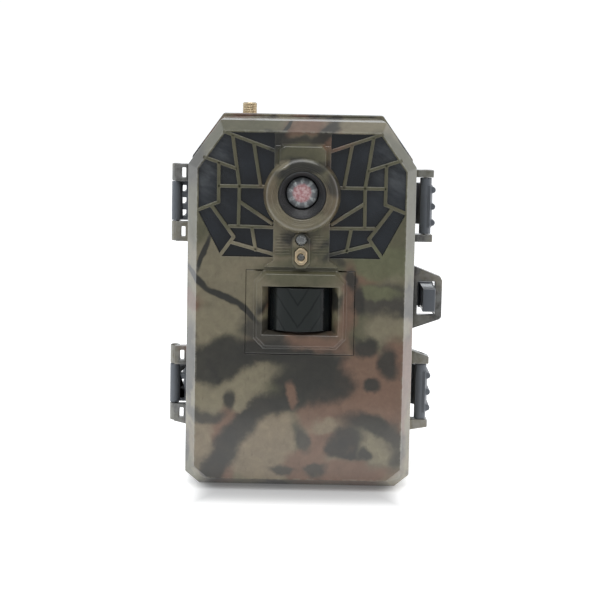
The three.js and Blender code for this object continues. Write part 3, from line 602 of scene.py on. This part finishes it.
def wear_and_haze(g, colour):
    """Where the film is rubbed or missing, and where a pale haze of glare is painted, told from the
    distance to the case's outline.
    """
    x, y, z = g.split(g.mapped(tuple(case_point(0, 0, 0)), (0, 0, 0), (MM, MM, MM)))
    x = g.math("ABSOLUTE", x)
    outside = outside_distance(g, x, z)
    # Rubbed edges of the bevel show the paler plastic under the film.
    rim = g.step(g.math("ABSOLUTE", g.math("ADD", outside, BEVEL)), 0.8, 0.1)
    worn = g.math("MULTIPLY", rim, g.step(g.noise(3, 5, 0.7), 0.42, 0.65))
    colour = g.mix(g.math("MULTIPLY", worn, 0.45), colour, RUBBED)
    # A pale haze of glare is painted on the fittings that stand out of the sides, in patches.
    painted_haze = g.math("MULTIPLY", g.step(outside, 1.2, 3.5), g.step(g.noise(2.5, 4, 0.6), 0.1, 0.7))
    colour = g.mix(g.math("MULTIPLY", painted_haze, 0.6), colour, HAZE_GREY)
    # The inside of the walls is bare moulding.
    depth = g.step(g.math("ABSOLUTE", y), WALL_REACH + 0.8, WALL_REACH)
    inner = g.math("MULTIPLY", depth, g.step(outside, -1.2, -1.8))
    return g.mix(inner, colour, BARE_WALL)


def mix_box(g, colour, middle, half, inside):
    """The colour inside in a box that is given by its middle and half size."""
    x, y, z = g.split(g.vector("ABSOLUTE", g.mapped(middle, (0, 0, 0), half)))
    furthest = g.math("MAXIMUM", x, g.math("MAXIMUM", y, z))
    return g.mix(g.step(furthest, 1.04, 1.0), colour, inside)


def outside_distance(g, x, z):
    """How far, in millimetres, a point is outside the case's outline as seen from the front.

    x is the point's distance from the middle plane."""
    nx, nz, reach = corner_cut()
    slant = g.math("ADD", g.math("MULTIPLY", x, nx), g.math("MULTIPLY", z, nz))
    beyond = g.math("MAXIMUM", g.math("SUBTRACT", x, HALF), g.math("SUBTRACT", z, TOP))
    beyond = g.math("MAXIMUM", beyond, g.math("MULTIPLY", z, -1))
    return g.math("MAXIMUM", beyond, g.math("SUBTRACT", slant, reach))


def edge_wear(g):
    """High along convex edges."""
    edge = g.add("ShaderNodeNewGeometry").outputs["Pointiness"]
    return g.step(edge, 0.52, 0.62)


def moulded_plastic(name, colour, roughness, speck, grain=0.35):
    """Spark-eroded moulding texture with slight handling marks.

    speck is how far its tone varies, and grain the size of its texture in millimetres."""
    g = Graph(name)
    tone = g.noise(6, 5, 0.6)
    lighter = tuple(min(1, c * (1 + 2.5 * speck) + 0.01) for c in colour)
    darker = tuple(c * (1 - speck) for c in colour)
    base = g.mix(tone, darker, lighter)
    base = g.mix(g.math("MULTIPLY", edge_wear(g), 0.25), base, tuple(c * 1.7 + 0.02 for c in colour))
    rough = g.step(g.noise(2.2, 4, 0.6), 0.3, 0.7, roughness * 0.85, min(1, roughness * 1.2))
    return g.set(
        color=base,
        roughness=rough,
        normal=g.bump(g.noise(grain, 2, 0.5), 0.03, 0.35),
    )


def metal(name, colour, roughness, brushed):
    """Turned or plated metal with dull patches and fine tool lines, stretched by brushed."""
    g = Graph(name)
    lines = g.noise(0.35, 3, 0.6, g.mapped(scale=brushed))
    dull = g.noise(3, 5, 0.6)
    tone = g.mix(g.math("MULTIPLY", dull, 0.5), colour, tuple(c * 0.55 for c in colour))
    return g.set(
        color=tone,
        metallic=1.0,
        roughness=g.step(dull, 0.3, 0.7, roughness * 0.8, roughness * 1.5),
        normal=g.bump(lines, 0.01, 0.3),
    )


def dark_pane(name, colour):
    """Polished infrared-pass acrylic: nearly black, with faint smears and a painted pale haze of
    reflection towards its outer upper edge.
    """
    g = Graph(name)
    tint = g.mix(g.step(g.noise(14, 4, 0.6), 0.35, 0.7), colour, tuple(c * 2.2 for c in colour))
    x, _, z = g.split(g.place)
    # A painted pale haze of reflection, in streaks, towards the outer upper corners.
    outer = g.step(g.math("ABSOLUTE", x), 20 * MM, 38 * MM)
    upper = g.step(z, 98 * MM, 128 * MM)
    reflection_streaks = g.step(g.noise(6, 5, 0.65, g.mapped(rotation=(0, 0.5, 0), scale=(2.6, 1, 1))), 0.3, 0.75)
    painted_haze = g.math("MULTIPLY", g.math("MULTIPLY", outer, upper), reflection_streaks)
    tint = g.mix(painted_haze, tint, (0.13, 0.14, 0.15))
    return g.set(
        color=tint,
        roughness=g.step(g.noise(5, 6, 0.7), 0.4, 0.8, 0.05, 0.16),
        specular=0.6,
        coat=0.4,
        coat_roughness=0.04,
    )


def motion_film():
    """The thin dark film of the motion lens, moulded in long V-shaped facets."""
    g = Graph("motion_lens")
    low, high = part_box("pir_lens")
    middle = (low + high) / 2
    local = g.mapped(tuple(middle), (0, 0, 0), (MM, MM, MM))
    across, _, up = g.split(local)
    bend = g.math("MULTIPLY", g.noise(9, 2, 0.5), 1.6)
    x = g.math("ABSOLUTE", g.math("ADD", across, bend))
    slope = g.math("SUBTRACT", up, g.math("MULTIPLY", x, 1.5))
    facet = g.math("PINGPONG", g.math("ADD", slope, 40), 4.2)
    line = g.step(facet, 0.9, 0.15)
    inside = g.step(x, 9.5, 7.5)
    tint = g.mix(inside, (0.006, 0.008, 0.009), (0.022, 0.025, 0.024))
    seam = g.math("MULTIPLY", line, g.math("MULTIPLY", inside, 0.6))
    tint = g.mix(seam, tint, (0.006, 0.008, 0.008))
    return g.set(
        color=tint,
        roughness=g.step(g.noise(5, 6, 0.7), 0.3, 0.8, 0.10, 0.24),
        specular=0.3,
        normal=g.bump(line, 0.05, 0.5),
    )


def lens_coating_and_reflections():
    """A multicoated lens: a dark grey ring with faint light spokes, both painted reflections, and a rose
    heart.
    """
    g = Graph("lens_coating_and_reflections")
    centre = case_point(0, FACE, LENS_Z + 0.6)
    local = g.mapped(tuple(centre), (0, 0, 0), (MM, MM, MM))
    x, _, z = g.split(local)
    radius = g.math("SQRT", g.math("ADD", g.math("MULTIPLY", x, x), g.math("MULTIPLY", z, z)))
    angle = g.math("ARCTAN2", z, x)
    # The ring's grey and its light spokes are painted reflections in the glass.
    spokes = g.math("SINE", g.math("MULTIPLY", angle, 9))
    ripple = g.noise(1.1, 4, 0.6)
    uneven = g.math("ADD", radius, g.math("MULTIPLY", g.math("SUBTRACT", ripple, 0.5), 1.6))
    reflection_streaks = g.math("MULTIPLY", g.step(spokes, -0.3, 0.8), g.step(ripple, 0.35, 0.6))
    rim = g.mix(reflection_streaks, (0.24, 0.25, 0.26), (0.60, 0.63, 0.63))
    rose = g.mix(g.step(ripple, 0.4, 0.62), (0.52, 0.24, 0.25), (0.72, 0.50, 0.50))
    colour = g.mix(g.step(uneven, 2.9, 4.0), rose, rim)
    colour = g.mix(g.step(radius, 5.4, 6.0), colour, (0.03, 0.03, 0.035))
    return g.set(color=colour, roughness=0.12, coat=1.0, coat_roughness=0.02, specular=0.6)


def clear_plastic():
    """Clear acrylic with a slight haze."""
    g = Graph("clear_plastic")
    haze = g.noise(1.2, 3, 0.6)
    tint = g.mix(haze, (0.80, 0.84, 0.85), (0.93, 0.95, 0.95))
    rough = g.step(haze, 0.3, 0.7, 0.04, 0.12)
    return g.set(color=tint, roughness=rough, transmission=0.85, ior=1.49)


def circuit_board():
    """Green solder mask over copper tracks and pads."""
    g = Graph("circuit_board")
    cell = g.add("ShaderNodeTexVoronoi", distance="MANHATTAN", feature="DISTANCE_TO_EDGE")
    g.feed(cell.inputs["Vector"], g.place)
    cell.inputs["Scale"].default_value = 1 / (4.2 * MM)
    track = g.step(cell.outputs["Distance"], 0.05, 0.02)
    colour = g.mix(track, (0.02, 0.085, 0.035), (0.06, 0.19, 0.08))
    colour = g.mix(g.step(g.noise(1.3, 2, 0.5), 0.66, 0.7), colour, (0.62, 0.58, 0.5))
    relief = g.bump(track, 0.03, 0.4)
    return g.set(color=colour, roughness=0.35, coat=0.3, coat_roughness=0.1, normal=relief)


def cell_sleeve():
    """A cell's printed sleeve: a dark body with one plain coloured band."""
    g = Graph("cell_sleeve")
    _, _, z = g.split(g.place)
    height = g.math("MULTIPLY", z, 1 / MM)
    foot, waist, shoulder, head, soft = 20.0, 52.0, 66.6, 67.2, 0.4
    above, below = g.step(height, waist, waist + soft), g.step(height, shoulder, shoulder - soft)
    band = g.math("MULTIPLY", above, below)
    colour = g.mix(band, (0.035, 0.04, 0.05), (0.42, 0.26, 0.10))
    lower, upper = g.step(height, foot, foot - soft), g.step(height, head, head + soft)
    ends = g.math("ADD", lower, upper, clamp=True)
    colour = g.mix(ends, colour, (0.55, 0.55, 0.56))
    return g.set(
        color=colour,
        roughness=g.step(g.noise(4, 4, 0.6), 0.3, 0.7, 0.22, 0.36),
        metallic=g.math("MULTIPLY", ends, 0.9),
        normal=g.bump(g.noise(1.5, 3, 0.5), 0.01, 0.2),
    )


def display_glass():
    """A colour screen that is off: black border, grey panel."""
    g = Graph("display_glass")
    low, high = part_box("lcd_display")
    middle = (low + high) / 2
    half = (high - low) / 2
    size = (half.x * 0.84, 1.0, half.z * 0.82)
    x, _, z = g.split(g.mapped(tuple(middle), (0, 0, 0), size))
    edge = g.math("MAXIMUM", g.math("ABSOLUTE", x), g.math("ABSOLUTE", z))
    panel = g.mix(g.noise(8, 3, 0.5), (0.030, 0.036, 0.045), (0.045, 0.052, 0.062))
    colour = g.mix(g.step(edge, 0.98, 1.0), panel, (0.008, 0.008, 0.009))
    return g.set(color=colour, roughness=0.08, coat=0.6, coat_roughness=0.03)


CAMO_FRONT = camo_print("camo_front", True)
# The lock tongue, coloured plain dark grey-blue: its middle and half size.
TONGUE = (tuple(case_point(50.4, -6.5, 70.7)), (4.4 * MM, 8.6 * MM, 5.8 * MM))
CAMO = camo_print("camo_rear", False, TONGUE)
DARK_PLASTIC = moulded_plastic("dark_plastic", (0.095, 0.105, 0.120), 0.42, 0.15)
BLACK_PLASTIC = moulded_plastic("black_plastic", (0.012, 0.012, 0.013), 0.46, 0.2)
RUBBER = moulded_plastic("rubber", (0.014, 0.014, 0.014), 0.75, 0.25, grain=0.6)
KEY_RUBBER = moulded_plastic("key_rubber", (0.20, 0.21, 0.22), 0.6, 0.08)
CARD_PLASTIC = moulded_plastic("card_plastic", (0.018, 0.022, 0.030), 0.5, 0.1)
STEEL = metal("steel", (0.58, 0.58, 0.59), 0.30, (1, 1, 6))
BRASS = metal("brass", (0.72, 0.53, 0.26), 0.30, (6, 6, 1))
GILT = metal("gilt", (0.68, 0.56, 0.38), 0.45, (4, 4, 1))
LAMP_PANE = dark_pane("lamp_pane", (0.008, 0.010, 0.013))
MOTION_LENS = motion_film()
LENS = lens_coating_and_reflections()
CLEAR = clear_plastic()
BOARD = circuit_board()
SLEEVE = cell_sleeve()
DISPLAY = display_glass()

LOOK_OF_SLOT = {
    "camo_shell": CAMO,
    "dark_plastic": DARK_PLASTIC,
    "black_plastic": BLACK_PLASTIC,
    "smoked_acrylic": LAMP_PANE,
    "motion_lens": MOTION_LENS,
    "optical_glass": LENS,
    "clear_plastic": CLEAR,
    "gilt": GILT,
    "steel": STEEL,
    "brass": BRASS,
    "rubber": RUBBER,
    "circuit_board": BOARD,
    "display": DISPLAY,
    "key_rubber": KEY_RUBBER,
    "cell_can": SLEEVE,
    "card_plastic": CARD_PLASTIC,
}


# ---------------------------------------------------------------- front cover

# What every piece of the front cover has: its body, material, slot and the CAD node it replaces.
COVER = ("door", CAMO_FRONT, "camo_shell", ["front_cover"])


def lamp_window():
    """The outline of the lamp window on the +X side, which follows the case's outline above."""
    margin, sill, corner, shoulder = 0.5, 89, 29.9, 105.6
    _, _, side, crown = case_outline(BEVEL + margin)[:4]
    return [(COLUMN, sill), (corner, sill), (side[0], shoulder), side, crown, (COLUMN, crown[1])]


def hole_rings(outline, corner_radius):
    """A hole's rings from the face back through the wall, with a rounded front edge."""
    rings = []
    for turn in quarter_turn(4):
        out = HOLE_EDGE * (1 - math.sin(turn))
        y = FACE + HOLE_EDGE * (1 - math.cos(turn))
        rings.append(ring(round_corners(inset_outline(outline, -out), corner_radius), y))
    rings.append(ring(round_corners(outline, corner_radius), INNER_FACE))
    return rings


def cover_shell():
    """The bevelled case front with its four holes: two lamp windows, the lens well, the sensor plate."""
    # From the face over the bevel to the lip, and back inside: inset, y and corner radius.
    profile = [
        (BEVEL + 0.3, FACE, 0),
        (BEVEL, FACE, 0.9),
        (0, FACE + BEVEL_DEPTH, 1.6),
        (-0.4, -LIP_DEPTH, 0.25),
        (-LIP, -LIP_DEPTH, 0.25),
        (-LIP, -SEAM_GAP, 0.25),
        (WALL, -SEAM_GAP, 0.2),
        (WALL, FACE + BEVEL_DEPTH + 1, 0.5),
        (BEVEL - 0.7, INNER_FACE, 0.3),
        (BEVEL + 0.4, INNER_FACE, 0),
    ]
    corners = [corner[:2] for corner in profile]
    line = [corners[0]]
    for i in range(1, len(corners) - 1):
        line += round_corners(corners[i - 1 : i + 2], profile[i][2], 4, closed=False)[1:-1]
    line.append(corners[-1])
    outer = []
    for inset, y in line:
        outline = case_outline(inset, bottom=max(inset, 0))
        outer.append(ring(round_corners(outline, 1.4), y))
    gap = 0.12
    plate = cut_rectangle(PIR_HALF + gap, PIR_LOW - gap, PIR_HIGH + gap, 0.2)
    window = lamp_window()
    holes = [hole_rings(window, 0.7), hole_rings(mirrored(window), 0.7), hole_rings(plate, 0.3)]
    well = circle(0, LENS_Z, WELL)
    holes.append([ring(well, FACE), ring(well, INNER_FACE)])
    shell = Builder().loft(outer)
    for rings in holes:
        shell.loft(rings)
    shell.fill(outer[0], *[rings[0] for rings in holes])
    shell.fill(outer[-1], *[rings[-1] for rings in holes])
    shell.finish("front_cover_shell", *COVER)


# The web of the +X window: each rib is a line through [x, z] points.
RIB_WIDTH = 1.35
RIBS = [
    [(29.6, 135.7), (10, 128.8)],
    [(26.2, 134.3), (24.4, 121.9), (23.4, 115.4)],
    [(18.3, 131.5), (15.5, 115.4)],
    [(31.3, 115.4), (12, 115.4)],
    [(36.9, 126.1), (24.5, 121.9)],
    [(31.2, 124.2), (31.1, 109.3)],
    [(38.6, 106.4), (31.1, 109.4)],
    [(33.5, 107.6), (25.3, 96.4), (31, 88.4)],
    [(27.2, 100.4), (9.6, 100.2)],
    [(23.4, 115.4), (23.6, 100.4)],
    [(23.3, 109.6), (11, 101.6)],
    [(18.6, 100.2), (17, 91.4)],
    [(26.4, 94.4), (9.6, 89.9)],
]


def web(name, side):
    """The web of rounded ribs across one lamp window."""
    ribs = Builder()
    front, back = FACE + 0.06, INNER_FACE + 0.2
    for line in RIBS:
        for (x0, z0), (x1, z1) in zip(line, line[1:]):
            ribs.beam((side * x0, z0), (side * x1, z1), RIB_WIDTH, front, back)
    piece = ribs.finish(name, *COVER)
    round_edges(piece, 0.3)


def lens_collar():
    """The domed collar, with three fine steps down to the lens ring."""
    profile = [(14.4, FACE + 0.6), (14.45, FACE - 0.8), (14.2, FACE - 2.2)]
    crest, inner = 11.5, 8.95
    for turn in quarter_turn(8):
        profile.append((crest + 2.3 * math.cos(turn), FACE - 2.9 - 2.1 * math.sin(turn)))
    radius, y = crest - 0.2, FACE - 5
    for _ in range(3):
        profile += [(radius, y), (radius - 0.12, y + 0.12), (radius - 0.62, y + 0.2)]
        radius -= 0.68
        y += 0.42
    profile += [(inner, y + 0.1), (inner, FACE + 11), (11.2, FACE + 11), (11.2, FACE + 0.6)]
    collar = Builder().lathe(profile + [profile[0]], 0, LENS_Z, 144)
    collar.finish("lens_collar", *COVER, sharp=30)


def raised_plate(name, outline, top, front, back, holes, edge, corner):
    """A plate that stands on the face, tapering from its outline at back to top at front.

    holes are outlines that go right through it."""
    turns = quarter_turn(3)
    made = Builder()
    rings = []
    for turn in turns:
        drawn_in = edge * (1 - math.sin(turn))
        y = front + edge * (1 - math.cos(turn))
        rings.append(ring(round_corners(inset_outline(top, drawn_in), corner), y))
    rings.append(ring(round_corners(outline, corner), back))
    made.loft(rings)
    mouths = []
    for hole in holes:
        walls = []
        for turn in turns:
            out = HOLE_EDGE * (1 - math.sin(turn))
            walls.append(ring(inset_outline(hole, -out), front + HOLE_EDGE * (1 - math.cos(turn))))
        walls.append(ring(hole, back))
        made.loft(walls)
        mouths.append((walls[0], walls[-1]))
    made.fill(rings[0], *[mouth[0] for mouth in mouths])
    made.fill(rings[-1], *[mouth[1] for mouth in mouths])
    made.finish(name, *COVER, sharp=30)


def sensor_slots():
    """The two holes in the column: the status lamp's and the light sensor's."""
    slot = round_corners(cut_rectangle(2.5, PORT_Z - 3.1, PORT_Z + 3.7, 1.5), 1.1)
    return [circle(0, LAMP_Z, 2.3, 32), slot]


def column():
    """The raised column between the windows, with the well through it, and the brow over the lens."""
    foot = [(14.5, 85.4), (COLUMN, 88), (COLUMN, 131)]
    foot += mirrored(foot)
    holes = [circle(0, LENS_Z, WELL), *sensor_slots()]
    raised_plate("lens_column", foot, foot, FACE - 1.2, FACE + 0.6, holes, 0.3, 0.5)
    outline = cut_rectangle(9.8, 122.2, 131.8, 1.8)
    top = cut_rectangle(8.6, 122.3, 130.8, 1.5)
    raised_plate("lens_brow", outline, top, FACE - 3.5, FACE, [], 0.4, 0.6)


def sensor_boss():
    """The boss round the status lamp and the light sensor, and the fine grip lines beside it."""
    outline = cut_rectangle(3.7, 84.9, 99, 2)
    top = cut_rectangle(3.3, 85.3, 98.4, 1.8)
    raised_plate("sensor_boss", outline, top, FACE - 2.6, FACE, sensor_slots(), 0.3, 0.6)
    count, lowest, pitch = 7, 90.6, 1.15
    lines = Builder()
    for n in range(count):
        z = lowest + pitch * n
        reach = 9.6 if n < count - 1 else 8.2
        for side in (-1, 1):
            lines.beam((side * 4.3, z), (side * reach, z), 0.5, FACE - 1.5, FACE - 1)
    grip = lines.finish("column_lines", *COVER)
    round_edges(grip, 0.16)


def cover_fittings():
    """Hinge ears, latch ears and lock loop, taken from the CAD cover outside the case's sides.

    Their cut ends are pushed into the wall of the new shell."""
    source = frame["nodes"]["front_cover"].data
    made = bmesh.new()
    outside = (HALF + LIP + 0.05) * MM
    inside = (HALF - 0.6) * MM
    for side in (-1, 1):
        part = bmesh.new()
        part.from_mesh(source)
        bmesh.ops.remove_doubles(part, verts=part.verts, dist=1e-6)
        bmesh.ops.bisect_plane(
            part,
            geom=part.verts[:] + part.edges[:] + part.faces[:],
            plane_co=(side * outside, 0, 0),
            plane_no=(-side, 0, 0),
            clear_outer=True,
        )
        rim = [e for e in part.edges if e.is_boundary]
        for vert in {v for e in rim for v in e.verts}:
            vert.co.x = side * inside
        bmesh.ops.holes_fill(part, edges=[e for e in part.edges if e.is_boundary])
        copy = bpy.data.meshes.new("part")
        part.to_mesh(copy)
        part.free()
        made.from_mesh(copy)
    data = bpy.data.meshes.new("cover_fittings")
    made.to_mesh(data)
    made.free()
    piece = dress(data, "cover_fittings", *COVER)
    round_edges(piece, 0.35)


# ---------------------------------------------------------------- optics and sensors


def lamp_pane(name, side, node):
    """The dark pane behind one web, hollowed out round the lens."""
    overlap, hollow, edge, steps = 1.0, 11.6, 0.2, 16
    points = inset_outline(lamp_window(), -overlap)
    # The hollow is an arc from the pane's edge above the lens to the same edge below it.
    inner = COLUMN - overlap
    start = math.atan2(math.sqrt(hollow**2 - inner**2), inner)
    for n in range(steps + 1):
        turn = start - 2 * start * n / steps
        points.append((hollow * math.cos(turn), LENS_Z + hollow * math.sin(turn)))
    if side < 0:
        points = mirrored(points)
    front, back = INNER_FACE + 0.3, INNER_FACE + 2.3
    face = ring(inset_outline(points, edge), front)
    made = Builder()
    made.loft([face, ring(points, front + edge), ring(points, back)])
    made.fill(face)
    made.fill(ring(points, back))
    made.finish(name, "door", LAMP_PANE, "smoked_acrylic", [node], sharp=30)


THROAT_RISE = 0.55  # the lens sits this much higher than the mouth of its ring


def lens_ring():
    """The black ring: a rolled rim and a stepped throat that narrows towards the lens."""
    back, steps, around = -31.2, 7, 96
    rim = [(9.2, back), (9.2, -37.0), (8.85, -37.75), (8.4, -38), (8.1, -37.7)]
    rings = [ring(circle(0, LENS_Z, radius, around), y) for radius, y in rim]
    for n in range(steps + 1):
        share = n / steps
        radius, y = 8.0 - 1.65 * share, -37.3 + 3.6 * share
        tread = circle(0, LENS_Z + THROAT_RISE * share, radius, around)
        rings += [ring(tread, y), ring(tread, y + 0.3)]
    rings.append(ring(circle(0, LENS_Z + THROAT_RISE, 6.2, around), back))
    made = Builder().loft(rings + [rings[0]])
    made.finish("lens_ring", "door", BLACK_PLASTIC, "black_plastic", ["lens_bezel"], sharp=25)


def lens_dome():
    """The front glass, a shallow dome."""
    radius, rise = 6.1, 2.1
    profile = [(0, -31.4), (radius, -31.4), (radius, -32.4)]
    for turn in quarter_turn(12):
        profile.append((radius * math.cos(turn), -32.5 - rise * math.sin(turn)))
    made = Builder().lathe(profile, 0, LENS_Z + THROAT_RISE)
    made.finish("lens_dome", "door", LENS, "optical_glass", ["lens_glass"], sharp=40)


def status_dome():
    """The clear tip of the status lamp."""
    radius, rise = 2.1, 1.9
    profile = [(0, FACE + 4), (radius, FACE + 4), (radius, FACE - 1.6)]
    for turn in quarter_turn(8):
        profile.append((radius * math.cos(turn), FACE - 1.7 - rise * math.sin(turn)))
    made = Builder().lathe(profile, 0, LAMP_Z, 48)
    made.finish("status_dome", "door", CLEAR, "clear_plastic", ["status_led"], sharp=40)


def sensor_pill():
    """The gilt bezel, a rounded slab with a dished round port, and the clear eye in the port."""
    front, back = FACE - 3.4, FACE + 1
    outline = round_corners(cut_rectangle(2.3, PORT_Z - 2.9, PORT_Z + 3.5, 1.5), 1.2, 6)
    shoulder = round_corners(cut_rectangle(2.0, PORT_Z - 2.6, PORT_Z + 3.2, 1.35), 1.1, 6)
    port = circle(0, PORT_Z, 1.95, 48)
    throat = circle(0, PORT_Z, 1.5, 48)
    made = Builder()
    made.loft([ring(shoulder, front), ring(outline, front + 0.35), ring(outline, back)])
    made.loft([ring(port, front), ring(throat, front + 0.5), ring(throat, FACE)])
    made.fill(ring(shoulder, front), ring(port, front))
    made.fill(ring(outline, back))
    made.finish("sensor_pill", "door", GILT, "gilt", ["light_sensor_bezel"], sharp=30)
    profile = [(0, front + 1.6), (1.0, front + 1.3), (1.5, front + 1.7), (0, front + 2.6)]
    eye = Builder().lathe(profile, 0, PORT_Z, 32)
    eye.finish("sensor_eye", "door", CLEAR, "clear_plastic", ["light_sensor_bezel"])


# ---------------------------------------------------------------- aerial socket


def aerial_socket():
    """The gilt post: a plain foot, a fine thread of separate rings and a hollow rim with its pin."""
    low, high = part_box("sma_connector")
    axis = (low + high) / 2
    radius = 3.0
    bottom, top = low.z / MM, high.z / MM
    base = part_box("sma_nut")[1].z / MM
    pitch = 0.71
    profile = [(0, bottom), (radius, bottom), (radius, base)]
    z = base + 0.2
    while z < top - 0.9:
        profile += [(radius - 0.2, z), (radius, z + 0.3 * pitch), (radius, z + 0.6 * pitch)]
        z += pitch
    profile += [(radius - 0.3, top - 0.25), (radius - 0.45, top), (2.3, top), (2.2, top - 0.2)]
    profile += [(2.2, top - 4.2), (0.6, top - 4.2), (0.6, top - 1.2), (0.4, top - 0.9), (0, top - 0.9)]
    rings = []
    for r, height in profile:
        points = circle(axis.x / MM, 0, max(r, 1e-4), 48)
        rings.append([Vector((x * MM, axis.y + y * MM, height * MM)) for x, y in points])
    made = Builder().loft(rings)
    made.finish("aerial_post", "rear", GILT, "gilt", ["sma_connector"], sharp=30)


# ---------------------------------------------------------------- assembly

AS_MADE = {"battery_spring_left", "battery_spring_right"}  # wire that is round already
SOFT_EDGE = {"rear_housing": 0.5, "tree_bracket": 0.4, "pir_frame": 0.35, "pir_lens": 0.1}
FRONT_PRINT = {"pir_frame"}
KEEP_TRIANGLES = {"rear_housing"}  # its flat faces have holes, which one joined face can't have


def dress_cad_nodes():
    """Gives every CAD node its look and, except for the springs, rounded edges."""
    slot_of = {s["node"]: s["material_slot"] for s in frame["record"]["subparts"]}
    for name, node in frame["nodes"].items():
        look = CAMO_FRONT if name in FRONT_PRINT else LOOK_OF_SLOT[slot_of[name]]
        node.data.materials.clear()
        node.data.materials.append(look)
        if name not in AS_MADE:
            soften_cad_node(node, SOFT_EDGE.get(name, 0.15), name not in KEEP_TRIANGLES)


def make_camera():
    """Half a metre in front of the lens side, a little above the case, with the photo's slight lean."""
    data = bpy.data.cameras.new("camera")
    data.sensor_width = 36
    data.lens = 76.4
    data.shift_y = -0.15
    camera = bpy.data.objects.new("camera", data)
    bpy.context.scene.collection.objects.link(camera)
    eye = case_point(-0.7, -506.8, 150)
    pitch, lean = math.radians(5.2), math.radians(1.1)
    level = math.radians(90)
    turned = Matrix.Rotation(level - pitch, 4, "X") @ Matrix.Rotation(lean, 4, "Z")
    camera.matrix_world = Matrix.Translation(eye) @ turned
    bpy.context.scene.camera = camera


def area_light(name, place, size, power, colour=(1, 1, 1)):
    """A square lamp at place that shines on the middle of the case."""
    target = case_point(0, 0, 70)
    data = bpy.data.lights.new(name, "AREA")
    data.size = size
    data.energy = power
    data.color = colour
    lamp = bpy.data.objects.new(name, data)
    lamp.location = place
    lamp.rotation_euler = (target - Vector(place)).to_track_quat("-Z", "Y").to_euler()
    bpy.context.scene.collection.objects.link(lamp)


def make_sky():
    """A plain sky that is dimmer in front of the case and overhead."""
    world = bpy.data.worlds.new("studio")
    bpy.context.scene.world = world
    world.use_nodes = True
    tree = world.node_tree
    split = tree.nodes.new("ShaderNodeSeparateXYZ")
    direction = tree.nodes.new("ShaderNodeTexCoord").outputs["Generated"]
    tree.links.new(direction, split.inputs[0])
    strength = tree.nodes.new("ShaderNodeMath")
    strength.operation = "MULTIPLY"
    from_front, overhead = (-0.85, 0.1, 0.34, 1.1), (0.25, 0.8, 1.0, 0.5)
    for axis, numbers, socket in zip("YZ", (from_front, overhead), strength.inputs):
        fade = tree.nodes.new("ShaderNodeMapRange")
        fade.interpolation_type = "SMOOTHSTEP"
        set_range(fade, *numbers)
        tree.links.new(split.outputs[axis], fade.inputs["Value"])
        tree.links.new(fade.outputs["Result"], socket)
    sky = tree.nodes["Background"]
    tree.links.new(strength.outputs[0], sky.inputs["Strength"])
    sky.inputs["Color"].default_value = (0.94, 0.97, 1.0, 1)


def paper():
    """Pale, faintly glowing paper.

    In front of and behind the case it glows less and is painted darker: a painted soft shadow, over which
    the case's own soft shadow also shows."""
    g = Graph("paper")
    pale = g.mix(g.noise(60, 4, 0.6), (0.90, 0.90, 0.89), (0.94, 0.94, 0.935))
    front, back = SEAM_Y + FACE * MM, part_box("rear_housing")[1].y
    x, y, _ = g.split(g.mapped((0, (front + back) / 2, 0)))
    ahead = g.math("SUBTRACT", g.math("ABSOLUTE", y), (back - front) / 2)
    past = g.step(ahead, 1 * MM, 30 * MM)
    beside = g.step(g.math("ABSOLUTE", x), (HALF - 14) * MM, (HALF + 4) * MM)
    clear_of_painted_shadow = g.math("MAXIMUM", past, beside)
    # Near the case the paper is painted mid grey and glows less: a painted shadow.
    tone = g.mix(clear_of_painted_shadow, (0.50, 0.50, 0.50), pale)
    glow = g.step(clear_of_painted_shadow, 0, 1, 0.12, 0.55)
    return g.set(color=tone, roughness=0.7, emission=(1, 1, 1), glow=glow)


def make_floor():
    """A sheet of paper that ends in front of the case, so that the foot of the picture is plain sky."""
    reach, edge, below = 3.0, 0.152, 0.0004
    sheet = bmesh.new()
    corners = [(-reach, -edge), (reach, -edge), (reach, reach), (-reach, reach)]
    sheet.faces.new([sheet.verts.new((x, y, -below)) for x, y in corners])
    data = bpy.data.meshes.new("floor")
    sheet.to_mesh(data)
    sheet.free()
    data.materials.append(paper())
    floor = bpy.data.objects.new("floor", data)
    bpy.context.scene.collection.objects.link(floor)


def make_studio():
    """The sky, the floor and soft lamps above, beside and in front of the case."""
    bpy.context.scene.view_settings.view_transform = "Standard"
    make_sky()
    make_floor()
    area_light("top_lamp", (0.0, -0.45, 1.0), 0.8, 6)
    area_light("left_lamp", (-0.9, -0.1, 0.4), 0.7, 0.9, (0.7, 0.85, 1.0))
    area_light("right_lamp", (0.9, -0.1, 0.25), 0.7, 1.5, (1.0, 0.90, 0.86))
    area_light("front_lamp", (-0.35, -0.75, 0.62), 0.12, 0.9)


make_camera()
make_studio()
dress_cad_nodes()
cover_shell()
web("web_right", 1)
web("web_left", -1)
lens_collar()
column()
sensor_boss()
cover_fittings()
lamp_pane("lamp_pane_right", 1, "ir_window_right")
lamp_pane("lamp_pane_left", -1, "ir_window_left")
lens_ring()
lens_dome()
status_dome()
sensor_pill()
aerial_socket()
